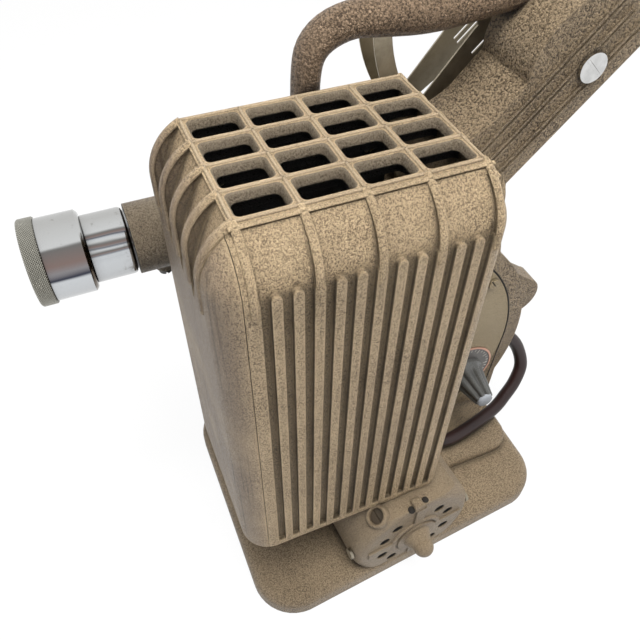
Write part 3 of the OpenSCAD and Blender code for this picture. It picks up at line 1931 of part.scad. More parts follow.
module control_knob() {
  base_x = near_x + dial_t + gap;
  color("dimgray") {
    on_x(base_x, dial)
      difference() {
        union() {
          cylinder(h = knob_base_h, r = knob_d / 2);
          cylinder(h = knob_l - dial_t - gap, r1 = knob_d / 2 - cut, r2 = knob_tip_d / 2);
        }
        for (i = [0:flutes - 1])
          rotate(i * 360 / flutes + 180 / flutes)
            translate([knob_d / 2 - cut, 0, knob_base_h])
              rotate([0, -atan((knob_d - knob_tip_d) / 2 / knob_l), 0])
                cylinder(h = 2 * knob_l, r = flute_r);
      }
    bar_x(near_x - housing_wall - rheostat_t / 2, housing_wall + dial_t + gap + rheostat_t / 2 + cut,
      dial, knob_shaft_r);
  }
}

module rheostat() {
  at = dial;
  x1 = near_x - housing_wall;
  x0 = x1 - housing_wall - gap - rheostat_t;
  color("saddlebrown")
    difference() {
      union() {
        bar_x(x0, rheostat_t, at, rheostat_r);
        bar_x(x0, x1 - x0, at, rheostat_neck_r);
      }
      bar_x(x0 + rheostat_t / 4, x1 - x0, at, knob_shaft_r + run);
    }
}

prong_r = 2;
prong_l = 9;
prong_apart = 9;
inlet_l = 16;
inlet_wall = 1.5;

module power_inlet() {
  x0 = lead_x - inlet_w / 2 + gap / 2;
  z0 = inlet_z - inlet_h / 2 + gap / 2;
  w = inlet_w - gap;
  h = inlet_h - gap;
  color("dimgray")
    difference() {
      block([x0, tail_y - inlet_l, z0], [w, inlet_l, h]);
      block([x0 + inlet_wall, tail_y - inlet_l + 2 * inlet_wall, z0 + inlet_wall],
        [w - 2 * inlet_wall, inlet_l, h - 2 * inlet_wall]);
    }
  color("goldenrod")
    for (s = [-1, 1])
      bar_y(tail_y - inlet_l + inlet_wall, prong_l, [lead_x, inlet_z + s * prong_apart / 2], prong_r);
}

// Route of the lead, from the housing's rear down to the platform and into the motor housing
lead_out = disc_y + sqrt(disc_r * disc_r - pow(disc_z - lead_z, 2));
lead_route = [[-18, lead_out - 7.5, 84], [-18, lead_out + 2.5, 84], [-17.5, lead_out + 11.5, 80],
  [-14, lead_out + 19.5, 68], [-8, lead_out + 22, 54], [-2, lead_out + 15, 44],
  [2.5, lead_out + 5.5, 37.5], [7, 99, 31.5], [12.7, 75.7, 29], [16, 55.5, 29],
  [14, 42, 31], [12, 33, 35], [12, 24, 36]];
lead_steps = 4;

module motor_lead() {
  places = spline([for (p = lead_route) [p[0], p[1], p[2], lead_d / 2, lead_d / 2]], lead_steps);
  color("brown")
    swept_bar(places, 12);
}

base();
base_pad();
base_screws();
main_frame();
body_housing();
housing_cover();
cover_screws();
carrying_handle();
arm_cap_screw();
lamp_house_shell();
ribbed_cover();
house_screws();
lamp_bulb();
lamp_base();
lamp_socket();
lamp_bracket();
reflector();
condenser_barrel();
condenser_lenses();
light_mirror();
mechanism_housing();
mechanism_cover();
shutter_disc();
shutter_shaft();
shaft_bracket();
claw();
gate_plate();
pressure_plate();
guide_rods();
lens_carrier();
lens_barrel();
lens_ring();
lens_glass();
lens_lock_screw();
supply_spindle();
supply_latch();
supply_reel();
takeup_spindle();
takeup_latch();
takeup_belt();
motor_end_bell();
motor_housing();
fan_housing();
motor_stator();
motor_armature();
cooling_fan();
motor_pulley();
brush_cap();
bell_screws();
drive_belt();
main_shaft();
upper_sprocket();
lower_sprocket();
gear_cover();
sprocket_shoes();
dial_plate();
control_knob();
rheostat();
power_inlet();
motor_lead();
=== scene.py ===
"""Looks of the film projector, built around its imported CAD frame.

Lengths are in metres, in the frame's own axes: X towards the lamp house, the lens along -Y, Z up.
Colours are linear red, green and blue.
"""
import json
import math

import bpy
from mathutils import Matrix, Vector


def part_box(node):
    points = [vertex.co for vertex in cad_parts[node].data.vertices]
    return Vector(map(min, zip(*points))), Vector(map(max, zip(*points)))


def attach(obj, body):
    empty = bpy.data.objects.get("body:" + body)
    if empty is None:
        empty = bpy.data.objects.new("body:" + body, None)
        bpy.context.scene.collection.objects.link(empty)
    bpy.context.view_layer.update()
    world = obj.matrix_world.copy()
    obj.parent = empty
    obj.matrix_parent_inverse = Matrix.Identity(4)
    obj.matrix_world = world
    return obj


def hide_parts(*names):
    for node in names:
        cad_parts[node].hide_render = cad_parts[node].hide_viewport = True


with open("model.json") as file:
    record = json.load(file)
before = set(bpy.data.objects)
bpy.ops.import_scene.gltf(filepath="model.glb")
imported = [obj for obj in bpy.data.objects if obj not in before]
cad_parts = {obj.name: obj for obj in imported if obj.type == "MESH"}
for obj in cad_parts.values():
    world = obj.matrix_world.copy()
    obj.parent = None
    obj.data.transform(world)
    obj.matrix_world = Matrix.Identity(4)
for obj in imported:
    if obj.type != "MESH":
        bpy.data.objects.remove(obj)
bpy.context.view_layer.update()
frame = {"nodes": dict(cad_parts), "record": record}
scene = bpy.context.scene
scene.view_settings.view_transform = "Standard"
slot_of = {s["node"]: s["material_slot"] for s in frame["record"]["subparts"]}
materials = {}

UP = (0, 0, 1)
ALONG_X = (1, 0, 0)
ALONG_Y = (0, 1, 0)


def link(obj):
    scene.collection.objects.link(obj)
    return obj


# Camera

CAMERA_PLACE = (0.21314, -0.13602, 0.44102)
CAMERA_RIGHT = (0.38892707, 0.92118758, 0.01221369)
CAMERA_UP = (-0.6864741, 0.28093815, 0.67069149)
CAMERA_BACK = (0.61440138, -0.26923446, 0.74163586)
FOCAL_MM = 36.64
SENSOR_MM = 36
NEAR_CLIP = 0.01


def make_camera():
    """The photograph's viewpoint, solved from the object's own corners."""
    lens = bpy.data.cameras.new("camera")
    lens.lens = FOCAL_MM
    lens.sensor_width = SENSOR_MM
    lens.clip_start = NEAR_CLIP
    camera = link(bpy.data.objects.new("camera", lens))
    axes = Matrix((CAMERA_RIGHT, CAMERA_UP, CAMERA_BACK)).transposed().to_4x4()
    camera.matrix_world = Matrix.Translation(CAMERA_PLACE) @ axes
    scene.camera = camera


# Node trees

MASK_EDGE = 0.0004  # how softly the masks of hollows end


class Paint:
    """One material's node tree, with short calls for its nodes, which give back their outputs."""

    def __init__(self, name, tree=None):
        self.name = name
        if tree is None:
            self.material = bpy.data.materials.new(name)
            self.material.use_nodes = True
            tree = self.material.node_tree
        self.tree = tree
        self.tree.nodes.clear()
        self.place = self.add("ShaderNodeTexCoord").outputs["Object"]

    def put(self, node, key, value):
        """Links an output to a node's input, or sets a constant there."""
        if isinstance(value, bpy.types.NodeSocket):
            self.tree.links.new(value, node.inputs[key])
        elif isinstance(value, tuple) and node.inputs[key].type == "RGBA":
            node.inputs[key].default_value = (*value, 1.0)
        else:
            node.inputs[key].default_value = value

    def add(self, kind, inputs=None, **settings):
        node = self.tree.nodes.new(kind)
        for name, value in settings.items():
            setattr(node, name, value)
        for key, value in (inputs or {}).items():
            self.put(node, key, value)
        return node

    def maths(self, operation, a, b=0.0):
        return self.add("ShaderNodeMath", {0: a, 1: b}, operation=operation).outputs[0]

    def plus(self, a, b):
        return self.maths("ADD", a, b)

    def minus(self, a, b):
        return self.maths("SUBTRACT", a, b)

    def times(self, a, b):
        return self.maths("MULTIPLY", a, b)

    def vectors(self, operation, a, b, result="Vector"):
        node = self.add("ShaderNodeVectorMath", {0: a, 1: b}, operation=operation)
        return node.outputs[result]

    def parts(self, vector):
        """The X, Y and Z of a vector."""
        return self.add("ShaderNodeSeparateXYZ", {0: vector}).outputs

    def geometry(self, what):
        return self.add("ShaderNodeNewGeometry").outputs[what]

    def span(self, value, low, high, to_low=0.0, to_high=1.0):
        """Maps low..high to to_low..to_high, smoothly and clamped."""
        return self.add("ShaderNodeMapRange", {
            "Value": value, "From Min": low, "From Max": high,
            "To Min": to_low, "To Max": to_high,
        }, interpolation_type="SMOOTHSTEP").outputs[0]

    def stretched(self, sx, sy, sz):
        """Coordinates scaled along each axis, for streaks and ripples."""
        inputs = {"Vector": self.place, "Scale": (sx, sy, sz)}
        return self.add("ShaderNodeMapping", inputs).outputs[0]

    def warped(self, scale, reach):
        """Coordinates pushed about by a soft noise, so that a pattern loses its regularity."""
        drift = self.add("ShaderNodeTexNoise", {"Vector": self.place, "Scale": scale}).outputs[1]
        shift = self.vectors("SUBTRACT", drift, (0.5, 0.5, 0.5))
        push = self.add("ShaderNodeVectorMath", {0: shift, "Scale": reach}, operation="SCALE")
        return self.vectors("ADD", self.place, push.outputs[0])

    def noise(self, scale, detail=2.0, roughness=0.5, distortion=0.0, place=None):
        """Noise with features of about 1 / scale metres, from 0 to 1."""
        return self.add("ShaderNodeTexNoise", {
            "Vector": place or self.place, "Scale": scale, "Detail": detail,
            "Roughness": roughness, "Distortion": distortion,
        }).outputs[0]

    def cells(self, scale, place):
        """The distance to the nearest of scattered points, about 1 / scale metres apart."""
        return self.add("ShaderNodeTexVoronoi", {"Vector": place, "Scale": scale}).outputs[0]

    def crevices(self, reach):
        """1 on open faces, and less where other surfaces stand close by."""
        inputs = {"Distance": reach}
        return self.add("ShaderNodeAmbientOcclusion", inputs, samples=6).outputs["AO"]

    def inside_box(self, low, high):
        """1 inside an upright box in the part's frame, and 0 outside it."""
        place = self.parts(self.place)
        share = 1.0
        for axis in range(3):
            above = self.span(place[axis], low[axis] - MASK_EDGE, low[axis] + MASK_EDGE)
            below = self.span(place[axis], high[axis] - MASK_EDGE, high[axis] + MASK_EDGE, 1.0, 0.0)
            share = self.times(share, self.times(above, below))
        return share

    def inside_drum(self, middle, radius, top, face, lean):
        """1 inside a drum along X with a face that leans back as Y rises, and 0 outside it."""
        part = self.parts(self.vectors("SUBTRACT", self.place, middle))
        spoke = self.add("ShaderNodeCombineXYZ", {"Y": part["Y"], "Z": part["Z"]}).outputs[0]
        reach = self.vectors("LENGTH", spoke, (0.0, 0.0, 0.0), "Value")
        depth = self.plus(part["X"], self.times(part["Y"], lean))
        share = self.span(reach, radius, radius + MASK_EDGE, 1.0, 0.0)
        share = self.times(share, self.span(part["Z"], top, top + MASK_EDGE, 1.0, 0.0))
        return self.times(share, self.span(depth, face, face + MASK_EDGE, 1.0, 0.0))

    def turn_about_y(self, vector):
        """A vector's angle round the Y axis in turns: 0 at the top and 0.25 towards +X."""
        parts = self.parts(vector)
        angle = self.maths("ARCTAN2", parts["X"], parts["Z"])
        return self.maths("DIVIDE", angle, 2 * math.pi)

    def seen_directly(self):
        """1 for rays that come from the camera or from a mirror or glass, and 0 for others."""
        rays = self.add("ShaderNodeLightPath").outputs
        second_hand = self.maths("MAXIMUM", rays["Is Glossy Ray"], rays["Is Transmission Ray"])
        return self.maths("MAXIMUM", rays["Is Camera Ray"], second_hand)

    def mix(self, share, a, b):
        return self.add("ShaderNodeMix", {0: share, 6: a, 7: b}, data_type="RGBA").outputs[2]

    def ramp(self, value, stops):
        """A colour that runs through (position, colour) stops as the value goes from 0 to 1."""
        node = self.add("ShaderNodeValToRGB", {0: value})
        points = node.color_ramp.elements
        while len(points) < len(stops):
            points.new(1.0)
        for point, (at, colour) in zip(points, stops):
            point.position = at
            point.color = (*colour, 1.0)
        return node.outputs[0]

    def eased(self, radius):
        """A normal that rounds every edge by the given radius."""
        return self.add("ShaderNodeBevel", {"Radius": radius}, samples=6).outputs[0]

    def edges(self, eased):
        """1 on edges and 0 on open faces, from how far the eased normal leans over."""
        upright = self.vectors("DOT_PRODUCT", eased, self.geometry("True Normal"), "Value")
        return self.span(self.minus(1.0, upright), 0.02, 0.25)

    def bump(self, height, distance, normal=None):
        inputs = {"Height": height, "Distance": distance, "Strength": 1.0}
        if normal is not None:
            inputs["Normal"] = normal
        return self.add("ShaderNodeBump", inputs).outputs[0]

    def finish(self, inputs):
        """Ends the material in one shader and files it under its name."""
        shader = self.add("ShaderNodeBsdfPrincipled", inputs)
        self.end_in(shader, "ShaderNodeOutputMaterial")
        materials[self.name] = self.material

    def end_in(self, shader, kind):
        self.tree.links.new(shader.outputs[0], self.add(kind).inputs["Surface"])


# Floor and light

FLOOR_HALF = 3.0
FLOOR_GREY = (0.36, 0.36, 0.36)
FLOOR_GLOW = 1.09
GLOW_SHARE = 0.84  # with the grey part's own light this comes to white
WHITE = (1.0, 1.0, 1.0)
SKY_LOW = (0.2, 0.2, 0.208)
SKY_HIGH = (1.0, 0.99, 0.97)
SKY_FRONT = (0.07, 0.07, 0.074)
LAMP_SIZE = 0.8
LAMP_AIM = (0, 0, 0.15)


def make_floor():
    """A floor that keeps the object's shadow and looks white where nothing shades it."""
    h = FLOOR_HALF
    mesh = bpy.data.meshes.new("floor")
    mesh.from_pydata([(-h, -h, 0), (h, -h, 0), (h, h, 0), (-h, h, 0)], [], [(0, 1, 2, 3)])
    floor = link(bpy.data.objects.new("floor", mesh))
    p = Paint("floor_white")
    pale = p.add("ShaderNodeBsdfDiffuse", {"Color": FLOOR_GREY})
    glow = p.add("ShaderNodeEmission", {"Color": WHITE, "Strength": FLOOR_GLOW})
    share = p.times(p.seen_directly(), GLOW_SHARE)
    both = p.add("ShaderNodeMixShader", {0: share, 1: pale.outputs[0], 2: glow.outputs[0]})
    p.end_in(both, "ShaderNodeOutputMaterial")
    mesh.materials.append(p.material)


def make_world():
    """A sky that is bright above and dark at the front, and white where it is seen directly."""
    world = bpy.data.worlds.new("studio")
    world.use_nodes = True
    scene.world = world
    p = Paint("studio", world.node_tree)
    way = p.parts(p.add("ShaderNodeTexCoord").outputs["Generated"])
    sky = p.mix(p.span(way["Z"], 0.0, 0.9), SKY_LOW, SKY_HIGH)
    sky = p.mix(p.span(way["Y"], -0.7, 0.4, 0.85, 0.0), sky, SKY_FRONT)
    colour = p.mix(p.seen_directly(), sky, WHITE)
    background = p.add("ShaderNodeBackground", {"Color": colour, "Strength": 1.0})
    p.end_in(background, "ShaderNodeOutputWorld")


def make_lamp(name, place, power):
    """A round soft lamp, kept out of reflections so that it doesn't clip the chrome to white."""
    light = bpy.data.lights.new(name, "AREA")
    light.shape = "DISK"
    light.size = LAMP_SIZE
    light.energy = power
    lamp = link(bpy.data.objects.new(name, light))
    lamp.location = place
    lamp.visible_glossy = False
    lamp.rotation_euler = (Vector(LAMP_AIM) - Vector(place)).to_track_quat("-Z", "Y").to_euler()


def make_studio():
    make_floor()
    make_world()
    make_lamp("soft_top", (0.25, -0.08, 1.4), 40.0)
    make_lamp("soft_side", (1.0, 0.5, 0.9), 6.0)


# Crinkle enamel

RELIEF_MIDDLE = 0.4
UNLIT = (0.004, 0.004, 0.004)
# The darker grey painted on the front face as shade
FRONT_SHADE = (0.2, 0.15, 0.118)

# Each enamel's colours: on the whole; in its pits as painted shade, and in dark patches; and on
# pebbles as painted highlight, on broad pale patches and on rubbed edges
BRONZE = ((0.42, 0.308, 0.184), (0.09, 0.062, 0.038), (0.8, 0.61, 0.38))
ARM_BRONZE = ((0.265, 0.195, 0.118), (0.062, 0.043, 0.027), (0.52, 0.4, 0.255))
BELL_BRONZE = ((0.19, 0.14, 0.086), (0.075, 0.054, 0.034), (0.32, 0.25, 0.165))
LOW_BRONZE = ((0.26, 0.192, 0.117), (0.065, 0.046, 0.029), (0.48, 0.37, 0.24))
CARRIER_BRONZE = ((0.19, 0.148, 0.1), (0.06, 0.045, 0.03), (0.33, 0.27, 0.19))
OLIVE = ((0.27, 0.21, 0.122), (0.11, 0.082, 0.046), (0.36, 0.29, 0.18))
UMBER = ((0.21, 0.145, 0.09), (0.06, 0.04, 0.026), (0.42, 0.3, 0.2))
WALL_BRONZE = ((0.22, 0.175, 0.12), (0.09, 0.068, 0.047), (0.34, 0.28, 0.2))
CREST_BRONZE = ((0.36, 0.275, 0.175), (0.16, 0.118, 0.075), (0.5, 0.39, 0.26))


def lamp_space(p):
    """The dark space below the grid and inside the lamp house's walls."""
    return p.inside_box((-0.0275, -0.0935, 0.05), (0.0425, 0.0035, 0.2962))


def bell_space(p):
    """The dark hollow of the motor bell, behind its vents."""
    return p.inside_drum(middle=(0.0, -0.007, 0.0405), radius=0.031, top=0.031,
                         face=0.0731, lean=0.0734)


def crinkle_relief(p, grain, pebbly, lively):
    """The relief of baked crinkle, from 0 in its pits to about 1 on its pebbles.

    pebbly is the share of coarse pebbles against fine speckle, and lively is the contrast.
    """
    pebbles = p.span(p.cells(grain, p.warped(900, 0.0011)), 0.1, 0.8, 1.0, 0.0)
    speckle = p.span(p.noise(1.7 * grain, 3.0, 0.8), 0.38, 0.62)
    crinkle = p.noise(1.2 * grain, 4.0, 0.8)
    pits = p.span(p.span(crinkle, 0.38, 0.47), 0.0, 1.0, 0.3, 1.0)
    # The glints raise the relief, and so show as painted highlights in the colour.
    glints = p.times(p.span(crinkle, 0.54, 0.62), 0.3)
    grains = p.plus(p.times(pebbles, pebbly), p.times(speckle, p.minus(1.0, pebbly)))
    relief = p.plus(p.times(grains, pits), glints)
    return p.plus(p.times(p.minus(relief, RELIEF_MIDDLE), lively), RELIEF_MIDDLE)


def shaded_front(p, colour, deep, front):
    """The face at Y = front painted darker and greyer, as shade, and streaked from top to bottom.
    """
    facing = p.span(p.parts(p.place)["Y"], front + 0.014, front + 0.003, 0.0, 1.0)
    streaks = p.noise(1.0, 3.0, 0.6, place=p.stretched(420, 420, 9))
    # Painted shade: the whole face mixed towards a darker grey.
    colour = p.mix(p.times(facing, 0.6), colour, FRONT_SHADE)
    return p.mix(p.times(facing, p.span(streaks, 0.52, 0.7, 0.0, 0.65)), colour, deep)


def weathered(p, colour, deep, pale, eased, crevice_shading):
    """The enamel with broad pale and dark patches, painted shade in its corners, and edges paler,
    rubbed and with a painted highlight.
    """
    broad = p.noise(22, 4.0, 0.6)
    patches = p.noise(8, 3.0, 0.55, 0.5)
    shade_and_grime = tuple(0.35 * c for c in deep)
    colour = p.mix(p.span(broad, 0.42, 0.75, 0.0, 0.25), colour, pale)
    colour = p.mix(p.span(patches, 0.35, 0.75, 0.0, 0.3), colour, deep)
    # Painted shade: the colour darkened towards near black in corners and crevices, where other
    # surfaces stand close.
    colour = p.mix(p.span(p.crevices(0.006), 0.35, 0.92, crevice_shading, 0.0), colour, shade_and_grime)
    # Edges paler: rubbed wear together with a painted highlight.
    worn_and_lit_edges = p.times(p.edges(eased), p.span(broad, 0.3, 0.6, 0.15, 0.6))
    return p.mix(worn_and_lit_edges, colour, pale)


def wrinkle_paint(name, shades, grain=1000, height=0.0007, metallic=0.25, rough=0.38, ease=0.0016,
                  pebbly=0.4, lively=0.8, crevice_shading=0.95, coarse_above=None, front=None, hollow=None):
    """Baked crinkle enamel with metal in it: painted shade in its pits, painted highlights on its
    pebbles, and edges paler, rubbed and with a painted highlight.

    Above the height coarse_above it is coarser and livelier, and painted a little paler as light
    from above. front is the Y of a face painted darker and greyer as shade, and hollow gives the
    share of a place that lies in an unlit space.
    """
    base, deep, pale = shades
    p = Paint(name)
    eased = p.eased(ease)
    if coarse_above is not None:
        up = p.parts(p.place)["Z"]
        pebbly = p.span(up, coarse_above - 0.012, coarse_above + 0.012, pebbly, 0.42)
        lively = p.span(up, coarse_above - 0.03, coarse_above + 0.006, lively, 1.0)
    relief = crinkle_relief(p, grain, pebbly, lively)
    # The colour follows the relief: painted shade in the pits, painted highlight on the pebbles and
    # glints.
    colour = p.ramp(relief, [(0.14, deep), (RELIEF_MIDDLE, base), (0.85, pale)])
    if coarse_above is not None:
        # Painted light: above coarse_above the enamel turns a little paler, as lit from above.
        painted_top_light = p.span(up, coarse_above - 0.02, coarse_above + 0.012, 0.0, 0.12)
        colour = p.mix(painted_top_light, colour, pale)
    if front is not None:
        colour = shaded_front(p, colour, deep, front)
    colour = weathered(p, colour, deep, pale, eased, crevice_shading)
    if hollow is not None:
        # Painted shade: inside the hollow the colour goes near black and the metal is taken out.
        hidden = hollow(p)
        colour = p.mix(hidden, colour, UNLIT)
        metallic = p.times(p.minus(1.0, hidden), metallic)
    p.finish({
        "Base Color": colour,
        "Metallic": metallic,
        "Roughness": p.span(relief, 0.1, 0.9, rough + 0.16, rough - 0.12),
        "Normal": p.bump(relief, height, eased),
    })


# Metal, plastic and glass

KNURL_TURNS = 104
KNURL_ROWS_PER_METRE = 925


def metal(name, colour, rough, height=0.00002):
    """Bright metal with fine scratches and dull patches."""
    p = Paint(name)
    scratches = p.noise(900, 3.0, 0.6)
    patches = p.noise(60, 3.0, 0.6)
    dull = tuple(0.72 * c for c in colour)
    p.finish({
        "Base Color": p.mix(p.span(patches, 0.4, 0.75), colour, dull),
        "Metallic": 1.0,
        "Roughness": p.span(scratches, 0.2, 0.8, rough * 0.7, rough * 1.4),
        "Normal": p.bump(scratches, height, p.eased(0.0004)),
    })


def plain(name, colour, rough, grain=1500, height=0.00003, coat=0.0):
    """Plastic, rubber, felt and flat paint: a fine grain, dusty patches and paler edges."""
    p = Paint(name)
    eased = p.eased(0.0005)
    speck = p.noise(grain, 3.0, 0.6)
    patches = p.noise(45, 3.0, 0.6)
    dark = tuple(0.7 * c for c in colour)
    pale = tuple(min(1.0, 2.0 * c) for c in colour)
    tint = p.mix(p.span(patches, 0.35, 0.7), colour, dark)
    p.finish({
        "Base Color": p.mix(p.times(p.edges(eased), 0.4), tint, pale),
        "Roughness": p.span(speck, 0.2, 0.8, rough - 0.08, rough + 0.1),
        "Normal": p.bump(speck, height, eased),
        "Coat Weight": coat,
    })


def barrel_stops(bands):
    """The chrome's colours round a barrel: pale, with a painted reflection of a dark room in each
    band.
    """
    stops = [(0.3, (0.42, 0.43, 0.42)), (0.5, (0.5, 0.5, 0.49))]
    for low, high in bands:
        start, end = 0.5 + low, 0.5 + high
        stops += [
            (start - 0.01, (0.6, 0.61, 0.61)),
            (start, (0.17, 0.165, 0.16)),
            (start + (high - low) * 0.5, (0.23, 0.17, 0.155)),
            (start + (high - low) * 0.75, (0.26, 0.25, 0.26)),
            (end - 0.004, (0.02, 0.024, 0.045)),
            (end + 0.006, (0.56, 0.58, 0.6)),
        ]
    return [*stops, (0.95, (0.45, 0.45, 0.45))]


def barrel_chrome(name, bands):
    """Polished chrome with the reflection of a dark room painted into its colour in (from, to)
    bands along its near side.
    """
    p = Paint(name)
    normal = p.geometry("Normal")
    ripple = p.noise(1.0, 2.0, place=p.stretched(90, 25, 90))
    turn = p.plus(p.turn_about_y(normal), p.span(ripple, 0.3, 0.7, -0.004, 0.004))
    colour = p.ramp(p.plus(turn, 0.5), barrel_stops(bands))
    # Painted reflection: faces that look back, past the band, tinted dark brown.
    faces_back = p.span(p.parts(normal)["Y"], 0.25, 0.75)
    colour = p.mix(p.times(faces_back, p.span(turn, 0.07, 0.12)), colour, (0.1, 0.075, 0.05))
    # Painted shade: near black where the barrel meets other parts.
    corner_shade = p.times(p.span(p.crevices(0.006), 0.5, 0.95, 0.9, 0.0),
                     p.span(turn, 0.0, 0.12, 0.35, 1.0))
    colour = p.mix(corner_shade, colour, (0.03, 0.026, 0.022))
    stains = p.noise(240, 4.0, 0.7)
    scuffs = p.noise(900, 4.0, 0.7)
    p.finish({
        "Base Color": p.mix(p.span(stains, 0.6, 0.75, 0.0, 0.45), colour, (0.2, 0.19, 0.16)),
        "Metallic": 1.0,
        "Roughness": p.span(scuffs, 0.4, 0.8, 0.1, 0.28),
        "Normal": p.bump(scuffs, 0.000006, p.eased(0.0004)),
    })


def knurled_metal(name, middle, colour):
    """Diamond knurling round an axis along Y through the given place, with painted shade in its
    grooves.
    """
    p = Paint(name)
    turn = p.turn_about_y(p.vectors("SUBTRACT", p.place, middle))
    round_it = p.times(turn, 2 * math.pi * KNURL_TURNS)
    along = p.times(p.parts(p.place)["Y"], 2 * math.pi * KNURL_ROWS_PER_METRE)
    one_way = p.maths("SINE", p.plus(round_it, along))
    other_way = p.maths("SINE", p.minus(round_it, along))
    points = p.times(p.plus(one_way, other_way), 0.5)
    dirt = p.noise(140, 3.0, 0.6)
    # Painted shade: the grooves at a fifth of the metal's colour.
    grooves_shaded = p.mix(p.span(points, -0.6, 0.5), tuple(0.2 * c for c in colour), colour)
    dirty = tuple(0.5 * c for c in colour)
    p.finish({
        "Base Color": p.mix(p.span(dirt, 0.4, 0.8, 0.0, 0.6), grooves_shaded, dirty),
        "Metallic": 0.9,
        "Roughness": p.span(dirt, 0.2, 0.8, 0.32, 0.5),
        "Normal": p.bump(points, 0.00025, p.eased(0.0003)),
    })


def glass(name, colour):
    """Clear glass with a thin, uneven film on it."""
    p = Paint(name)
    film = p.noise(35, 3.0, 0.6)
    p.finish({
        "Base Color": p.mix(p.span(film, 0.3, 0.8), colour, tuple(0.94 * c for c in colour)),
        "Roughness": p.span(film, 0.2, 0.9, 0.02, 0.08),
        "Transmission Weight": 1.0,
        "IOR": 1.5,
        "Normal": p.bump(film, 0.00002),
    })


# What each node wears, where its slot's own finish isn't the one
FINISH_OF = {
    "housing_cover": "olive_wrinkle",
    "cover_screws": "olive_wrinkle",
    "body_housing": "arm_bronze",
    "main_frame": "arm_bronze",
    "base": "low_bronze",
    "motor_end_bell": "bell_bronze",
    "motor_housing": "low_bronze",
    "brush_cap": "brush_brown",
    "bell_screws": "dull_screw",
    "lens_carrier": "carrier_bronze",
}

# The lens's axis and the lamp house's front face
LENS_X = -0.062
LENS_Z = 0.217
FRONT_Y = -0.110


def make_materials():
    wrinkle_paint("bronze_wrinkle", BRONZE, ease=0.0026, pebbly=0.3, coarse_above=0.262,
                  front=FRONT_Y, hollow=lamp_space)
    wrinkle_paint("low_bronze", LOW_BRONZE)
    wrinkle_paint("arm_bronze", ARM_BRONZE, grain=800, height=0.001, rough=0.33, pebbly=0.55,
                  lively=1.0)
    wrinkle_paint("carrier_bronze", CARRIER_BRONZE)
    wrinkle_paint("olive_wrinkle", OLIVE, grain=1900, height=0.00014)
    # The slot walls' enamel is painted darker than the bronze, as shade inside the slots.
    wrinkle_paint("grid_wall", WALL_BRONZE, hollow=lamp_space)
    wrinkle_paint("crest_bronze", CREST_BRONZE, grain=1600, height=0.0002)
    wrinkle_paint("bell_bronze", BELL_BRONZE, grain=1500, height=0.00025, crevice_shading=0.5,
                  hollow=bell_space)
    wrinkle_paint("brown_wrinkle", UMBER, grain=800, height=0.001, rough=0.33, pebbly=0.55,
                  lively=1.0)

    metal("screw_steel", (0.55, 0.54, 0.5), 0.3)
    metal("dull_screw", (0.4, 0.36, 0.28), 0.45)
    metal("chrome", (0.72, 0.72, 0.71), 0.1, height=0.000004)
    metal("bright_steel", (0.6, 0.59, 0.56), 0.22)
    metal("machined_steel", (0.45, 0.45, 0.43), 0.3)
    metal("mirror", (0.85, 0.85, 0.85), 0.04, height=0.000002)
    metal("brass", (0.6, 0.44, 0.2), 0.25)
    metal("copper", (0.62, 0.36, 0.27), 0.35)
    metal("fan_metal", (0.6, 0.6, 0.58), 0.4)
    metal("reel_metal", (0.42, 0.37, 0.28), 0.42)
    barrel_chrome("barrel_front", [(0.115, 0.23)])
    barrel_chrome("barrel_rear", [(0.085, 0.104), (0.13, 0.15), (0.168, 0.18)])
    knurled_metal("knurl", (LENS_X, 0, LENS_Z), (0.52, 0.505, 0.435))

    plain("felt", (0.05, 0.055, 0.045), 0.9, grain=2200, height=0.00012)
    plain("brush_brown", (0.04, 0.03, 0.02), 0.6)
    plain("black_plastic", (0.045, 0.045, 0.042), 0.3, coat=0.3)
    plain("dial_grey", (0.1, 0.095, 0.09), 0.5)
    plain("dark_metal", (0.05, 0.05, 0.05), 0.5)
    plain("belt", (0.07, 0.04, 0.025), 0.7)
    plain("insulator", (0.14, 0.06, 0.03), 0.5)
    plain("shade_and_grime", (0.012, 0.01, 0.008), 0.8)
    plain("marks", (0.34, 0.32, 0.29), 0.6)
    plain("grey_tip", (0.2, 0.21, 0.225), 0.55, grain=700, height=0.0003)
    plain("lead_rubber", (0.013, 0.0055, 0.005), 0.42, grain=900, height=0.00006)
    glass("optical_glass", (0.92, 0.95, 0.96))


def paint(obj, finish):
    obj.data.materials.clear()
    obj.data.materials.append(materials[finish])


def dress_cad_nodes():
    """Every CAD node that stays gets its own finish or that of its slot."""
    for name, obj in frame["nodes"].items():
        paint(obj, FINISH_OF.get(name, slot_of[name]))


# Building pieces

SHARP_FROM = math.radians(38)
POINT = 0.0001  # the radius at which a turned form closes on its axis


def make_piece(name, verts, faces, body, finish, stands_for=()):
    """A smooth mesh that rides on a body, wears a finish and may stand for CAD nodes."""
    mesh = bpy.data.meshes.new(name)
    mesh.from_pydata([tuple(v) for v in verts], [], faces)
    mesh.validate()
    mesh.update()
    for face in mesh.polygons:
        face.use_smooth = True
    mesh.set_sharp_from_angle(angle=SHARP_FROM)
    piece = link(bpy.data.objects.new(name, mesh))
    paint(piece, finish)
    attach(piece, body)
    if stands_for:
        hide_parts(*stands_for)
    return piece


def gathered(shapes):
    """One list of vertices and one of faces, from several (vertices, faces) pairs."""
    verts, faces = [], []
    for some, sides in shapes:
        faces += [tuple(len(verts) + k for k in side) for side in sides]
        verts += some
    return verts, faces


def quads(rings, size, closed):
    """The faces between each ring of vertices and the next, and round to the first if closed."""
    faces = []
    for a in range(rings if closed else rings - 1):
        b = (a + 1) % rings
        for i in range(size):
            j = (i + 1) % size
            faces.append((a * size + i, a * size + j, b * size + j, b * size + i))
    return faces


def turned_over(faces):
    """The same faces, seen from their other side."""
    return [(face[0], *face[:0:-1]) for face in faces]


